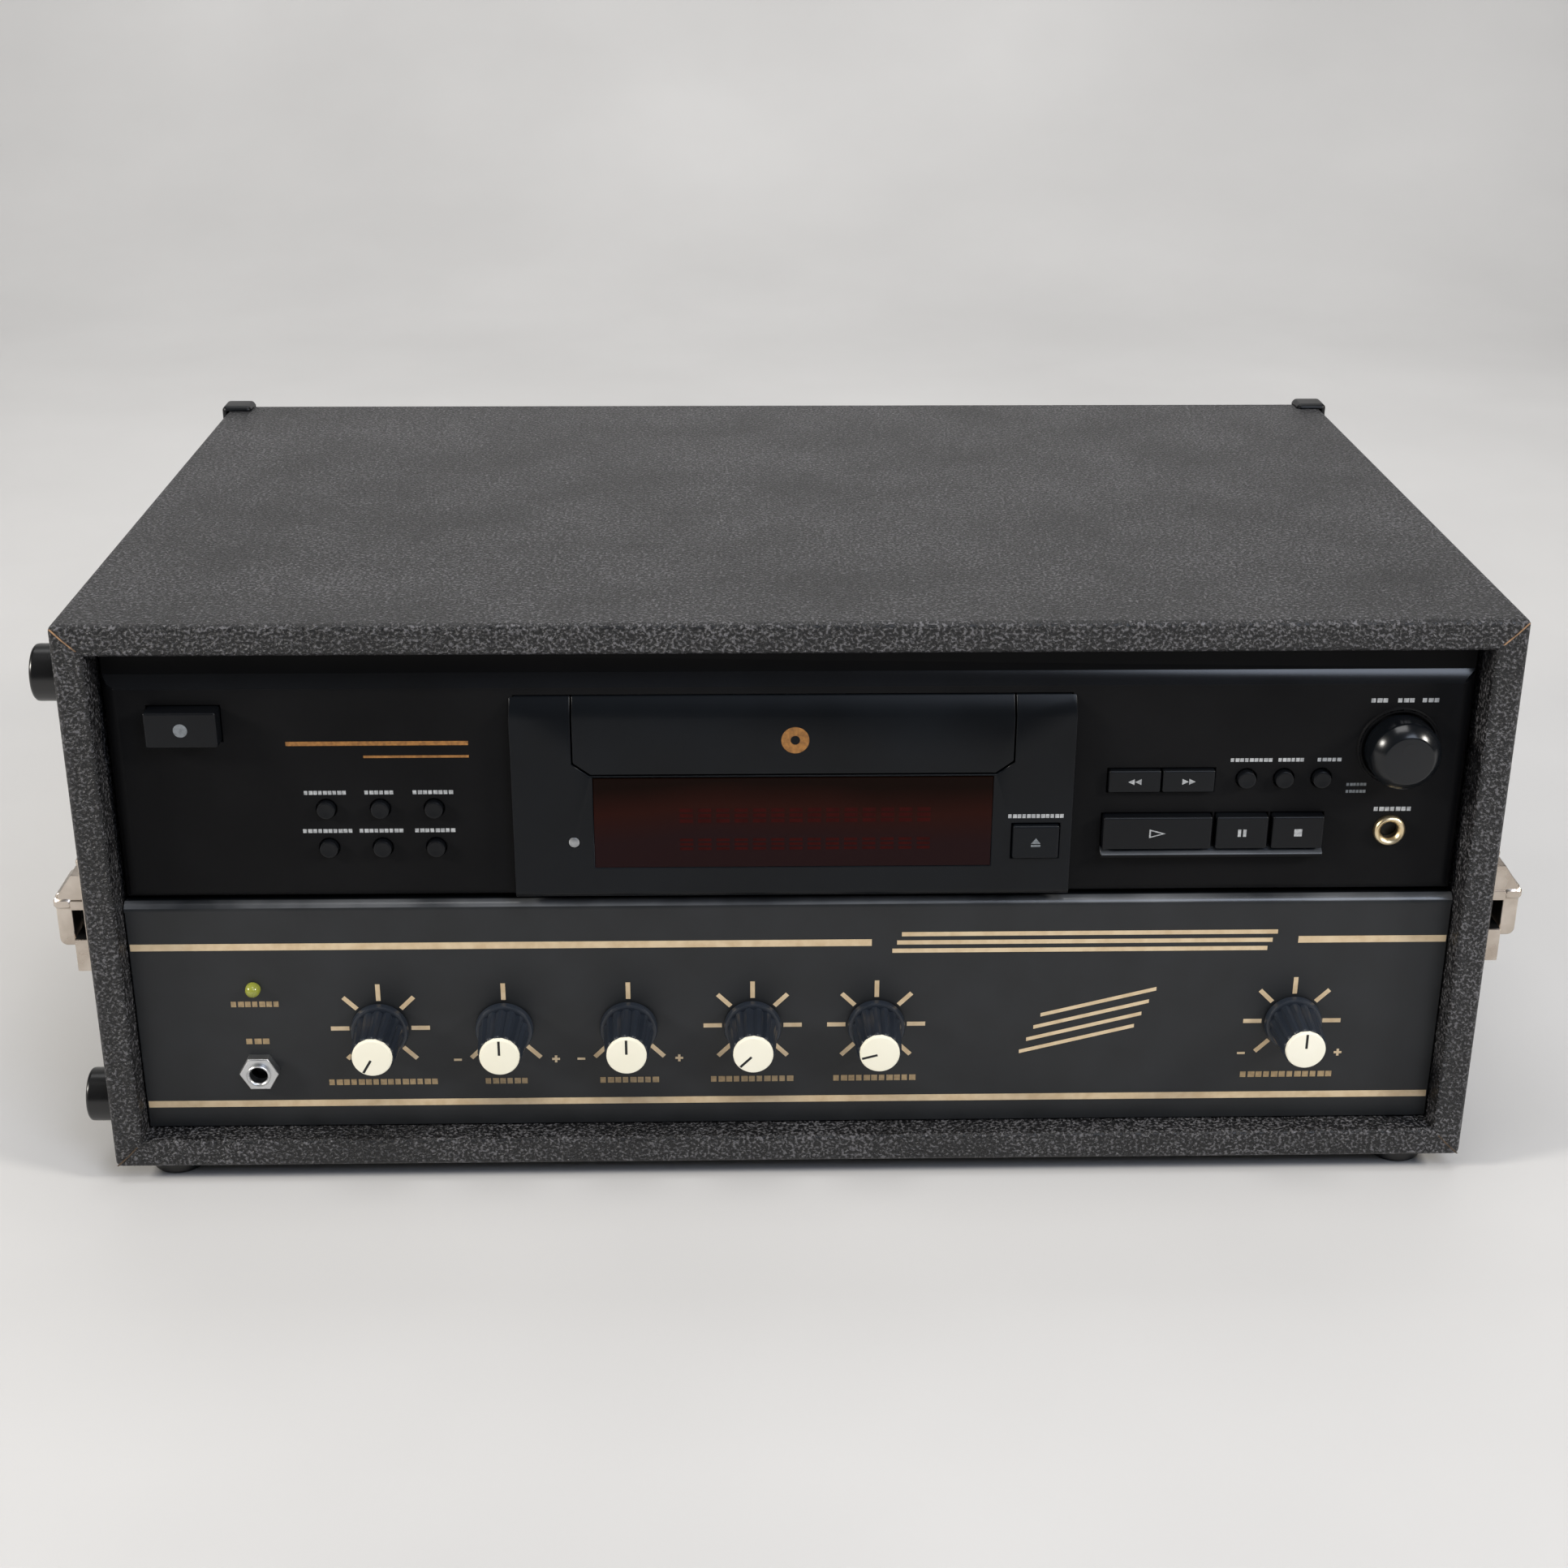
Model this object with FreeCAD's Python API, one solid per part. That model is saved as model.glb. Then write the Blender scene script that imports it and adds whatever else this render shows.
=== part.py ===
import FreeCAD, Part
import math
import os

# Portable disc player and amplifier in a covered plywood carrying case. Sizes are in millimetres.
# It is drawn with x = 0 in the middle of the case, y = 0 at its front edge and z = 0 at its underside.
# At the end it is moved so that the origin lies on the floor, below the middle of the whole outline.

# Deck and amplifier, which the case is built around
deck_width = 430.0
deck_height = 84.0
amp_height = 83.5
shelf_gap = 1.7
top_gap = 1.8
side_gap = 1.0

# Case
board = 10.0
case_depth = 280.0
edge_round = 2.5
edge_bevel = 1.8
front_recess = 9.0
back_recess = 6.0
back_thick = 9.0
panel_gap = 0.4
cleat = 12.0
shelf_cleat = 16.0
cleat_front = 34.0
vent_count = 9
vent_pitch = 14.0
vent_width = 5.0
vent_height = 30.0

# Feet, below and on the left side
foot_diameter = 18.0
foot_height = 6.5
foot_bevel = 1.6
foot_inset = 18.0
side_foot_height = 9.3
side_foot_inset = 20.0
foot_front = 15.0

# Caps on the rear corners
cap_leg = 10.0
cap_thick = 2.0
corner_bevel = 1.2
cap_foot_gap = 2.0

# Carrying strap on the right side
strap_inset = 45.0
strap_width = 26.0
strap_thick = 4.0
strap_rise = 17.0
strap_seat = 1.0
strap_bend = 40.0
strap_ramp = 27.0
strap_flat = 23.0
strap_end_length = 34.0
strap_end_width = 36.0
strap_end_height = 9.0
strap_end_bevel = 2.0

# Latches
latch_front = 4.0
latch_width = 24.0
latch_height = 40.0
latch_rise = 92.0
latch_plate = 1.0
latch_slot = 4.3
lever_thick = 5.2
lever_round = 2.5
lever_drop = 16.5
cheek_thick = 2.6
pin_radius = 1.2
pin_rise = 4.5
sill_height = 8.5
hood_lip = 2.0

# Flats on the small round pieces that repeat
ring_count = 16
wide_ring_count = 40

# Clearances
running_gap = 0.05
sliding_gap = 0.3
button_gap = 0.3

# Deck fascia
fascia_depth = 18.0
fascia_wall = 3.0
fascia_foot_round = 4.0
fascia_end_round = 5.0
face_height = 72.0
step_depth = 2.5
step_rise = 4.2

# Raised bezel with the tray door and the display
bezel_width = 177.6
bezel_proud = 4.0
bezel_lift = 1.0
bezel_height = 68.3
bezel_slope = 6.6
bezel_skirt = 11.0
bezel_flange = 1.5
skirt_wall = 2.0
bezel_round = 3.0
door_width = 138.6
door_rise = 44.1
door_thick = 5.0
door_corner_x = 5.5
door_corner_z = 4.0
door_gap = 0.4
window_width = 126.4
window_rise = 12.0
window_height = 31.0
window_thick = 2.0
window_ledge = 0.8
lens_radius = 2.0
lens_inset = 19.2
lens_rise = 21.0
lens_length = 6.0
lens_proud = 0.4

# Buttons
button_travel = 1.5
button_flange = 1.2
button_flange_thick = 1.2
button_bevel = 0.5
mode_radius = 2.9
mode_proud = 2.0
mode_inset = 25.0
mode_pitch = 17.0
mode_rise = 31.5
mode_row = 13.5
edit_radius = 3.0
edit_inset = 46.8
edit_pitch = 12.0
edit_rise = 40.1
power_width = 22.4
power_height = 11.6
power_inset = 25.2
power_rise = 60.6
power_proud = 6.0
power_travel = 3.0
skip_width = 16.7
skip_gap = 0.5
skip_height = 7.6
skip_proud = 1.6
skip_inset = 114.9
skip_rise = 39.7
play_width = 35.0
pause_width = 16.6
play_height = 11.2
play_proud = 3.2
play_inset = 116.0
play_rise = 22.4
key_gap = 1.4
ledge_height = 2.6
eject_width = 14.8
eject_height = 11.4
eject_proud = 1.5
eject_inset = 11.5
eject_rise = 20.6

# Jog dial and headphone socket
jog_inset = 23.2
jog_rise = 50.9
jog_radius = 11.25
jog_face_radius = 8.7
jog_shoulder = 3.4
jog_length = 11.6
jog_ring_width = 1.5
jog_ring_gap = 0.5
jog_ring_height = 1.2
jog_travel = 1.0
jog_dimple = 3.2
jog_dimple_depth = 0.8
shaft_radius = 3.0
encoder_size = 14.0
jack_radius = 3.2
jack_depth = 28.0
jack_ring = 5.1
jack_ring_height = 1.8
jack_bush = 4.5
jack_body = 13.0
phones_rise = 21.9

# Deck shell and circuit boards
deck_sheet = 1.2
deck_rear_gap = 4.0
pan_side = 24.0
pan_inset = 5.0
circuit_thick = 1.6
switch_board_gap = 10.0
switch_board_margin = 6.0
boss_width = 6.0
switch_size = 6.0
tube_inset = 4.0
tube_thick = 5.0
pillar_width = 5.0
pillar_height = 6.0
main_board_gap = 10.0
main_board_length = 90.0
main_board_margin = 14.0

# Disc tray and its drive
tray_width = 128.0
tray_thick = 7.5
tray_rise = 48.8
tray_length = 175.0
tray_travel = 135.0
disc_margin = 4.0
well_radius = 60.5
well_depth = 4.5
small_well_radius = 40.5
small_well_depth = 1.2
slot_width = 38.0
slot_reach = 50.0
gear_module = 1.5
gear_teeth = 18
gear_thick = 3.3
gear_back = 27.0
gear_play = 0.25
pressure_angle = 20.0
rack_width = 5.0
rack_height = 4.0
rack_line = 52.0
post_radius = 2.0

# Disc mechanism
guide_wall = 3.0
guide_lip = 4.4
guide_thick = 2.2
guide_front = 24.0
guide_length = 160.0
frame_plate = 2.5
frame_lift = 5.0
frame_foot = 30.0
platter_radius = 12.5
platter_thick = 2.6
platter_drop = 1.0
spindle_radius = 1.5
motor_width = 24.0
motor_height = 14.0
motor_drop = 2.0
guide_rod_radius = 1.5
guide_rod_spread = 22.0
sled_width = 52.0
sled_length = 22.0
sled_height = 10.0
sled_travel = 33.0
sled_start = 25.0
rod_rise = 31.0
rod_margin = 1.5
pickup_lens = 8.0
pickup_lens_height = 3.0

# Amplifier panel
amp_sheet = 2.0
amp_bend = 3.2
amp_return = 16.0
knob_rise = 37.5
knob_pitch = 41.0
knob_first = 80.0
knob_last = 49.2
knob_count = 5
lamp_radius = 2.5
lamp_proud = 3.2
lamp_length = 4.0
lamp_rise = 52.4
lamp_inset = 39.4
mic_rise = 22.2
nut_flats = 12.6
nut_height = 2.6
nut_proud = 2.2

# Knobs
knob_skirt_radius = 9.5
knob_skirt = 2.8
knob_base_radius = 8.3
knob_tip_radius = 7.2
knob_length = 18.4
knob_gap = 0.6
cap_radius = 6.5
cap_height = 1.4
cap_bevel = 0.6
flute_count = 14
flute_share = 0.1
pointer_width = 0.8
pointer_depth = 0.4
pot_width = 16.0
pot_depth = 9.0

# Amplifier chassis and rear connectors
chassis_sheet = 1.5
chassis_inset = 14.0
chassis_lip = 18.0
plate_left_inset = 88.0
plate_right_inset = 26.0
plate_margin = 8.0
plate_top = 76.0
rear_rise = 38.0
inlet_inset = 56.0
inlet_width = 24.4
inlet_height = 17.0
inlet_wall = 2.0
inlet_flange = 3.0
inlet_depth = 18.0
blade_width = 2.0
blade_height = 4.2
blade_pitch = 7.0
blade_sink = 2.0
switch_inset = 96.0
switch_width = 13.0
switch_height = 19.0
switch_wall = 2.0
switch_depth = 16.0
rocker_radius = 7.0
rocker_tilt = 7.0
speaker_inset = 156.0
amp_board_length = 150.0
amp_board_width = 250.0
amp_board_rise = 8.0
amp_board_margin = 44.0
sink_width = 120.0
sink_height = 46.0
sink_base = 4.0
sink_fin = 2.0
sink_fin_reach = 18.0
sink_fin_count = 9
core_width = 66.0
core_height = 56.0
core_depth = 34.0
core_gap = 4.0
core_limb = 16.5
core_window = 12.4
coil_length = 58.0

# Places that follow from the sizes above
deck_half = deck_width / 2
inner = deck_half + side_gap
half = inner + board
amp_top = board + amp_height
deck_base = amp_top + shelf_gap
deck_top = deck_base + deck_height
ceiling = deck_top + top_gap
case_height = ceiling + board
back_face = case_depth - back_recess - back_thick
front = front_recess
wall_back = front + fascia_wall
fascia_rear = front + fascia_depth
deck_rear = back_face - cleat - deck_rear_gap
step_z = deck_base + face_height
latch_reach = latch_plate + latch_slot + lever_thick
switch_board_y = wall_back + switch_board_gap
jog_back = jog_travel + sliding_gap
jog_x = deck_half - jog_inset
jog_z = deck_base + jog_rise
phones_z = deck_base + phones_rise
bezel_front = front - bezel_proud
bezel_half = bezel_width / 2
bezel_low = deck_base + bezel_lift
bezel_top = bezel_low + bezel_height
skirt_half = bezel_half - bezel_flange
skirt_low = deck_base + fascia_wall + panel_gap
door_half = door_width / 2
door_low = deck_base + door_rise
tray_low = deck_base + tray_rise
tray_high = tray_low + tray_thick
tray_half = tray_width / 2
tray_front_y = bezel_front + door_thick
disc_y = tray_front_y + disc_margin + well_radius
gear_pitch_radius = gear_module * gear_teeth / 2
gear_x = rack_line - gear_pitch_radius
gear_y = tray_front_y + gear_back
gear_low = tray_low - rack_height
frame_half = tray_half + sliding_gap + guide_wall
frame_low = deck_base + deck_sheet + frame_lift
knob_z = board + knob_rise
knob_places = [knob_first - inner + i * knob_pitch for i in range(knob_count)] + [inner - knob_last]
mic_x = lamp_inset - inner
mic_z = board + mic_rise
amp_floor = board + chassis_sheet
rear_z = board + rear_rise
plate_left = inner - plate_left_inset
plate_right = inner - plate_right_inset
inlet_x = inner - inlet_inset
switch_x = inner - switch_inset
speaker_x = inner - speaker_inset

right = FreeCAD.Vector(1, 0, 0)
inward = FreeCAD.Vector(0, 1, 0)
up = FreeCAD.Vector(0, 0, 1)


def vec(x, y, z):
    return FreeCAD.Vector(x, y, z)


def about(middle, size):
    return (middle - size / 2, middle + size / 2)


def block(x, y, z):
    return Part.makeBox(x[1] - x[0], y[1] - y[0], z[1] - z[0], vec(x[0], y[0], z[0]))


def bar_x(y, z, radius, x):
    return Part.makeCylinder(radius, x[1] - x[0], vec(x[0], y, z), right)


def bar_y(x, z, radius, y):
    return Part.makeCylinder(radius, y[1] - y[0], vec(x, y[0], z), inward)


def bar_z(x, y, radius, z):
    return Part.makeCylinder(radius, z[1] - z[0], vec(x, y, z[0]), up)


# A flat face through corners given as (u, v) or (u, v, radius of the rounding there)
def outline(corners):
    points = [vec(c[0], c[1], 0) for c in corners]
    ends = []
    for i, corner in enumerate(corners):
        here = points[i]
        back = points[i - 1] - here
        ahead = points[(i + 1) % len(points)] - here
        back.normalize()
        ahead.normalize()
        radius = corner[2] if len(corner) > 2 else 0
        if not radius:
            ends.append((here, None, here))
            continue
        half_angle = back.getAngle(ahead) / 2
        reach = radius / math.tan(half_angle)
        middle = back + ahead
        middle.normalize()
        depth = radius / math.sin(half_angle) - radius
        ends.append((here + back * reach, here + middle * depth, here + ahead * reach))
    edges = []
    for i, (start, middle, end) in enumerate(ends):
        last = ends[i - 1][2]
        if last.distanceToPoint(start) > 1e-6:
            edges.append(Part.makeLine(last, start))
        if middle:
            edges.append(Part.Arc(start, middle, end).toShape())
    return Part.Face(Part.Wire(Part.__sortEdges__(edges)))


# Outlines carried along one axis: (y, z) along x, (x, z) along y and (x, y) along z
def prism_x(corners, x):
    solid = outline(corners).extrude(up * (x[1] - x[0]))
    solid.Placement = FreeCAD.Placement(vec(x[0], 0, 0), FreeCAD.Rotation(vec(1, 1, 1), 120))
    return solid


def prism_y(corners, y):
    solid = outline(corners).extrude(up * (y[1] - y[0]))
    solid.Placement = FreeCAD.Placement(vec(0, y[1], 0), FreeCAD.Rotation(right, 90))
    return solid


def prism_z(corners, z):
    solid = outline(corners).extrude(up * (z[1] - z[0]))
    solid.Placement = FreeCAD.Placement(vec(0, 0, z[0]), FreeCAD.Rotation())
    return solid


def join(pieces):
    return pieces[0].multiFuse(pieces[1:]).removeSplitter()


# Corners of a round outline with a few flats, for small pieces that repeat
def ring(x, z, radius, flats=ring_count):
    turns = [math.tau * i / flats for i in range(flats)]
    return [(x + radius * math.cos(turn), z + radius * math.sin(turn)) for turn in turns]


# The same for a hole that a ring of the given radius turns or slides in
def ring_hole(x, z, radius):
    return ring(x, z, radius / math.cos(math.pi / ring_count))


def bevel_where(shape, size, wanted):
    return shape.makeChamfer(size, [edge for edge in shape.Edges if wanted(edge)])


def at_y(edge, y):
    return all(abs(v.Y - y) < 1e-4 for v in edge.Vertexes)


# Stands a piece made along z so that its z axis points out of the front
def facing_front(shape, x, y, z):
    placed = shape.copy()
    placed.Placement = FreeCAD.Placement(vec(x, y, z), FreeCAD.Rotation(right, 90))
    return placed


# And out of the back
def facing_back(shape, x, y, z):
    placed = shape.copy()
    placed.Placement = FreeCAD.Placement(vec(x, y, z), FreeCAD.Rotation(right, -90))
    return placed


def mirrored(shape):
    return shape.mirror(vec(0, 0, 0), right)


# Outside of the case: rounded along its four long edges, bevelled round the front and the back
def case_envelope():
    r = edge_round
    corners = [(-half, 0, r), (half, 0, r), (half, case_height, r), (-half, case_height, r)]
    whole = prism_y(corners, (0, case_depth))
    return bevel_where(whole, edge_bevel, lambda e: at_y(e, 0) or at_y(e, case_depth))


# Four boards, mitred where they meet, with the covering rounded over the edges
def case_boards(envelope):
    low, high = board, ceiling
    shapes = {
        "top_board": [(-half, case_height), (-inner, high), (inner, high), (half, case_height)],
        "bottom_board": [(-half, 0), (half, 0), (inner, low), (-inner, low)],
        "left_board": [(-half, 0), (-inner, low), (-inner, high), (-half, case_height)],
        "right_board": [(half, 0), (half, case_height), (inner, high), (inner, low)],
    }
    boards = {}
    for name, corners in shapes.items():
        boards[name] = prism_y(corners, (0, case_depth)).common(envelope)
    return boards


def vent_slots():
    slots = []
    vent_z = (deck_base + deck_top) / 2
    for i in range(vent_count):
        x = (i - (vent_count - 1) / 2) * vent_pitch
        slots.append(block(about(x, vent_width), (back_face - 1, case_depth), about(vent_z, vent_height)))
    return slots


def back_panel():
    panel = block((-inner + panel_gap, inner - panel_gap), (back_face, back_face + back_thick),
                  (board + panel_gap, ceiling - panel_gap))
    opening = block((plate_margin - plate_left, plate_right - plate_margin), (back_face - 1, case_depth),
                    (board + plate_margin, board + plate_top - plate_margin))
    return panel.cut([opening] + vent_slots())


# Two shelf cleats carry the deck and two upright ones hold the back panel
def case_cleats():
    cleats = []
    for side in (-1, 1):
        shelf = sorted((side * inner, side * (inner - shelf_cleat)))
        upright = sorted((side * inner, side * (inner - cleat)))
        cleats.append(block(shelf, (cleat_front, back_face - cleat), (deck_base - cleat, deck_base)))
        cleats.append(block(upright, (back_face - cleat, back_face), (board, ceiling)))
    return Part.Compound(cleats)


def foot(height):
    body = prism_z(ring(0, 0, foot_diameter / 2), (0, height))
    return bevel_where(body, foot_bevel, lambda e: all(v.Z > height / 2 for v in e.Vertexes))


def rubber_feet():
    rear = case_depth - cap_leg - cap_foot_gap - foot_diameter / 2
    feet = []
    for y in (foot_front, rear):
        for x in (-half + foot_inset, half - foot_inset):
            low = foot(foot_height)
            low.Placement = FreeCAD.Placement(vec(x, y, 0), FreeCAD.Rotation(right, 180))
            feet.append(low)
        for z in (side_foot_inset, case_height - side_foot_inset):
            side = foot(side_foot_height)
            side.Placement = FreeCAD.Placement(vec(-half, y, z), FreeCAD.Rotation(inward, -90))
            feet.append(side)
    return Part.Compound(feet)


def corner_caps():
    caps = []
    case = block((-half, half), (0, case_depth), (0, case_height))
    y = (case_depth - cap_leg, case_depth + cap_thick)
    for x in ((-half - cap_thick, -half + cap_leg), (half - cap_leg, half + cap_thick)):
        for z in ((-cap_thick, cap_leg), (case_height - cap_leg, case_height + cap_thick)):
            cap = block(x, y, z)
            caps.append(cap.makeChamfer(corner_bevel, cap.Edges).cut(case))
    return Part.Compound(caps)


def strap_end_places():
    return (strap_inset, case_depth - strap_inset)


# The strap lies flat in its end caps and bows out between them
def carry_strap():
    middle = case_depth / 2
    span = middle - strap_inset
    end = span + strap_end_length / 4
    ramp_foot = span - strap_flat
    ramp_top = ramp_foot - strap_ramp
    low = half + strap_seat
    high = half + strap_rise
    inner_side = [(low, -end), (low, -ramp_foot, strap_bend), (high, -ramp_top, strap_bend),
                  (high, ramp_top, strap_bend), (low, ramp_foot, strap_bend), (low, end)]
    outer_side = [(c[0] + strap_thick, *c[1:]) for c in reversed(inner_side)]
    path = [(c[0], c[1] + middle, *c[2:]) for c in inner_side + outer_side]
    return prism_z(path, about(case_height / 2, strap_width))


def strap_ends(strap):
    ends = []
    for y in strap_end_places():
        cap = block((half, half + strap_end_height), about(y, strap_end_length),
                    about(case_height / 2, strap_end_width))
        cap = bevel_where(cap, strap_end_bevel, lambda e: all(v.X > half + 1 for v in e.Vertexes))
        ends.append(cap.cut(strap))
    return Part.Compound(ends)


def latch_y():
    return (latch_front, latch_front + latch_width)


def latch_pin_z():
    return latch_rise + pin_rise


def latch_pin_x():
    return -half - latch_reach + lever_thick / 2


# Left latch: a back plate, a sloping hood, two cheeks with the pin between them, and a slot
# with a sill under it and a wall behind it
def latch_body():
    low = latch_rise - latch_height / 2
    high = latch_rise + latch_height / 2
    pin_x, pin_z = latch_pin_x(), latch_pin_z()
    knuckle = lever_thick / 2
    hood_base = pin_z + knuckle + sliding_gap
    lip = -half - hood_lip
    tip = -half - latch_reach + hood_lip
    plate = block((-half - latch_plate, -half), latch_y(), (low, high))
    hood = prism_y([(-half, hood_base), (-half, high), (lip, high), (tip, hood_base + 1), (tip, hood_base)],
                   latch_y())
    slot_x = (-half - latch_plate - latch_slot + sliding_gap, -half)
    sill = block(slot_x, latch_y(), (low, low + sill_height))
    wall = block(slot_x, (latch_y()[1] - cheek_thick, latch_y()[1]), (low, pin_z))
    cheeks = []
    for y in (latch_y()[0], latch_y()[1] - cheek_thick):
        side = [(-half, pin_z - knuckle), (-half, hood_base), (tip, hood_base),
                (pin_x - knuckle, pin_z), (pin_x - knuckle, pin_z - knuckle, knuckle / 2)]
        cheeks.append(prism_y(side, (y, y + cheek_thick)))
    pin = prism_y(ring(pin_x, pin_z, pin_radius), latch_y())
    return join([plate, hood, sill, wall, pin] + cheeks)


def latch_lever():
    pin_x, pin_z = latch_pin_x(), latch_pin_z()
    knuckle = lever_thick / 2
    margin = cheek_thick + sliding_gap
    y = (latch_y()[0] + margin, latch_y()[1] - margin)
    low = pin_z - lever_drop
    drop = prism_y([(pin_x - knuckle, low, lever_round), (pin_x + knuckle, low), (pin_x + knuckle, pin_z),
                    (pin_x - knuckle, pin_z)], y)
    lever = join([drop, bar_y(pin_x, pin_z, knuckle, y)])
    return lever.cut(bar_y(pin_x, pin_z, pin_radius + running_gap, y))


# Button shapes: a face in front of the wall, and a flange behind it that keeps the button in.
# A bar button has its flange above and below only, so that neighbours can stand close.
def round_button(x, z, radius, proud, face):
    body = prism_y(ring(x, z, radius), (face - proud, face + fascia_wall + sliding_gap))
    back = face + fascia_wall + sliding_gap
    side = (radius + button_flange) * 2
    return join([body, block(about(x, side), (back, back + button_flange_thick), about(z, side))])


def bar_button(x, z, width, height, proud, face):
    back = face + fascia_wall + sliding_gap
    body = block(about(x, width), (face - proud, back), about(z, height))
    body = bevel_where(body, button_bevel, lambda e: at_y(e, face - proud))
    rim = block(about(x, width), (back, back + button_flange_thick), about(z, height + button_flange * 2))
    return join([body, rim])


# Every button of the deck: its node, its solid and the hole it slides in
def deck_buttons():
    buttons, holes = {}, []
    cut_y = (bezel_front - 1, wall_back + 1)

    def add_round(name, x, z, radius):
        buttons[name] = round_button(x, z, radius, mode_proud, front)
        holes.append(prism_y(ring_hole(x, z, radius + button_gap), cut_y))

    def add_bar(name, x, z, width, height, proud):
        buttons[name] = bar_button(x, z, width, height, proud, front)
        clear = button_gap * 2
        holes.append(block(about(x, width + clear), cut_y, about(z, height + clear)))

    for i in range(6):
        x = -bezel_half - mode_inset + (i % 3 - 2) * mode_pitch
        add_round(f"mode_button_{i + 1}", x, deck_base + mode_rise - (i // 3) * mode_row, mode_radius)
    for i in range(3):
        x = deck_half - edit_inset + (i - 2) * edit_pitch
        add_round(f"edit_button_{i + 1}", x, deck_base + edit_rise, edit_radius)
    power_x, power_z = -deck_half + power_inset, deck_base + power_rise
    add_bar("power_button", power_x, power_z, power_width, power_height, power_proud)
    skip_z = deck_base + skip_rise
    skip_x = deck_half - skip_inset + skip_width / 2
    skip_step = skip_width + skip_gap
    for name, x in (("skip_back_button", skip_x), ("skip_next_button", skip_x + skip_step)):
        add_bar(name, x, skip_z, skip_width, skip_height, skip_proud)
    x = deck_half - play_inset
    keys = (("play_button", play_width), ("pause_button", pause_width), ("stop_button", pause_width))
    for name, width in keys:
        add_bar(name, x + width / 2, deck_base + play_rise, width, play_height, play_proud)
        x += width + key_gap
    return buttons, holes


def fascia_profile(inset, rear):
    low_round = max(fascia_foot_round - inset, 0.5)
    face, low = front + inset, deck_base + inset
    return [(rear, low), (face, low, low_round), (face, step_z),
            (face + step_depth, step_z + step_rise), (face + step_depth, deck_top - inset),
            (rear, deck_top - inset)]


def deck_fascia(holes):
    shell = prism_x(fascia_profile(0, fascia_rear), (-deck_half, deck_half))
    plan = [(-deck_half, fascia_rear), (-deck_half, front, fascia_end_round),
            (deck_half, front, fascia_end_round), (deck_half, fascia_rear)]
    shell = shell.common(prism_z(plan, (deck_base, deck_top)))
    hollow_half = deck_half - fascia_wall
    shell = shell.cut(prism_x(fascia_profile(fascia_wall, fascia_rear + 1), (-hollow_half, hollow_half)))
    rim_y = (front - jog_ring_height, front)
    rim_bore = jog_radius + jog_ring_gap
    rim = prism_y(ring(jog_x, jog_z, rim_bore + jog_ring_width, wide_ring_count), rim_y)
    rim = rim.cut(prism_y(ring(jog_x, jog_z, rim_bore, wide_ring_count), rim_y))
    play_low = deck_base + play_rise - play_height / 2 - button_gap
    keys = play_width + 2 * (pause_width + key_gap)
    ledge_x = (deck_half - play_inset - button_gap, deck_half - play_inset + keys + button_gap)
    ledge = prism_x([(front, play_low - ledge_height), (front - play_proud, play_low - ledge_height),
                     (front - play_proud, play_low - ledge_height / 2), (front, play_low)], ledge_x)
    shell = join([shell, rim, ledge] + bosses())
    gap = panel_gap / 2
    through = (front - 1, wall_back + 1)
    opening = block((-skirt_half - gap, skirt_half + gap), through, (skirt_low - gap, bezel_top + gap))
    shaft_room = shaft_radius * 2 + 2
    shaft_hole = block(about(jog_x, shaft_room), through, about(jog_z, shaft_room))
    jack_hole = prism_y(ring(jog_x, phones_z, jack_ring), through)
    return shell.cut(holes + [opening, shaft_hole, jack_hole])


def door_outline(gap):
    low = door_low - gap
    side = door_half + gap
    high = bezel_top + 1
    cut_x, cut_z = door_corner_x, door_corner_z
    return [(-side, high), (-side, low + cut_z), (-side + cut_x, low),
            (side - cut_x, low), (side, low + cut_z), (side, high)]


# The sloping upper edge that the bezel and the tray door share
def bezel_profile(low, rear, lower_round):
    corners = [(rear, low), (bezel_front, low, lower_round), (bezel_front, bezel_top - bezel_slope),
               (front, bezel_top)]
    if rear > front:
        corners.append((rear, bezel_top))
    return corners


def eject_place():
    return (bezel_half - eject_inset, deck_base + eject_rise)


def lens_place():
    return (-bezel_half + lens_inset, deck_base + lens_rise)


def window_limits(edge):
    x = (-window_width / 2 + edge, window_width / 2 - edge)
    low = deck_base + window_rise
    return x, (low + edge, low + window_height - edge)


def tray_bezel():
    flange = prism_x(bezel_profile(bezel_low, front, bezel_round), (-bezel_half, bezel_half))
    skirt = block((-skirt_half, skirt_half), (front, front + bezel_skirt), (skirt_low, bezel_top))
    inside_half = skirt_half - skirt_wall
    inside = block((-inside_half, inside_half), (bezel_front + fascia_wall, front + bezel_skirt + 1),
                   (skirt_low + skirt_wall, bezel_top - bezel_slope))
    body = join([flange, skirt]).cut(inside)
    through = (bezel_front - 1, front + bezel_skirt + 1)
    door = prism_y(door_outline(door_gap), through)
    x, z = window_limits(0)
    rebate = block(x, (bezel_front - 1, bezel_front + window_thick), z)
    x, z = window_limits(window_ledge)
    window = block(x, (bezel_front - 1, front), z)
    eject_x, eject_z = eject_place()
    clear = button_gap * 2
    eject = block(about(eject_x, eject_width + clear), through, about(eject_z, eject_height + clear))
    lens_x, lens_z = lens_place()
    lens = prism_y(ring(lens_x, lens_z, lens_radius), (bezel_front - 1, front))
    return body.cut([door, rebate, window, eject, lens])


def display_window():
    x, z = window_limits(0)
    return block(x, (bezel_front, bezel_front + window_thick), z)


def remote_lens():
    x, z = lens_place()
    return prism_y(ring(x, z, lens_radius), (bezel_front - lens_proud, bezel_front + lens_length))


def eject_button():
    x, z = eject_place()
    return bar_button(x, z, eject_width, eject_height, eject_proud, bezel_front)


def tray_front():
    door = prism_y(door_outline(0), (bezel_front - 1, tray_front_y))
    return door.common(prism_x(bezel_profile(door_low, tray_front_y, 0), (-door_half, door_half)))


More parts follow.
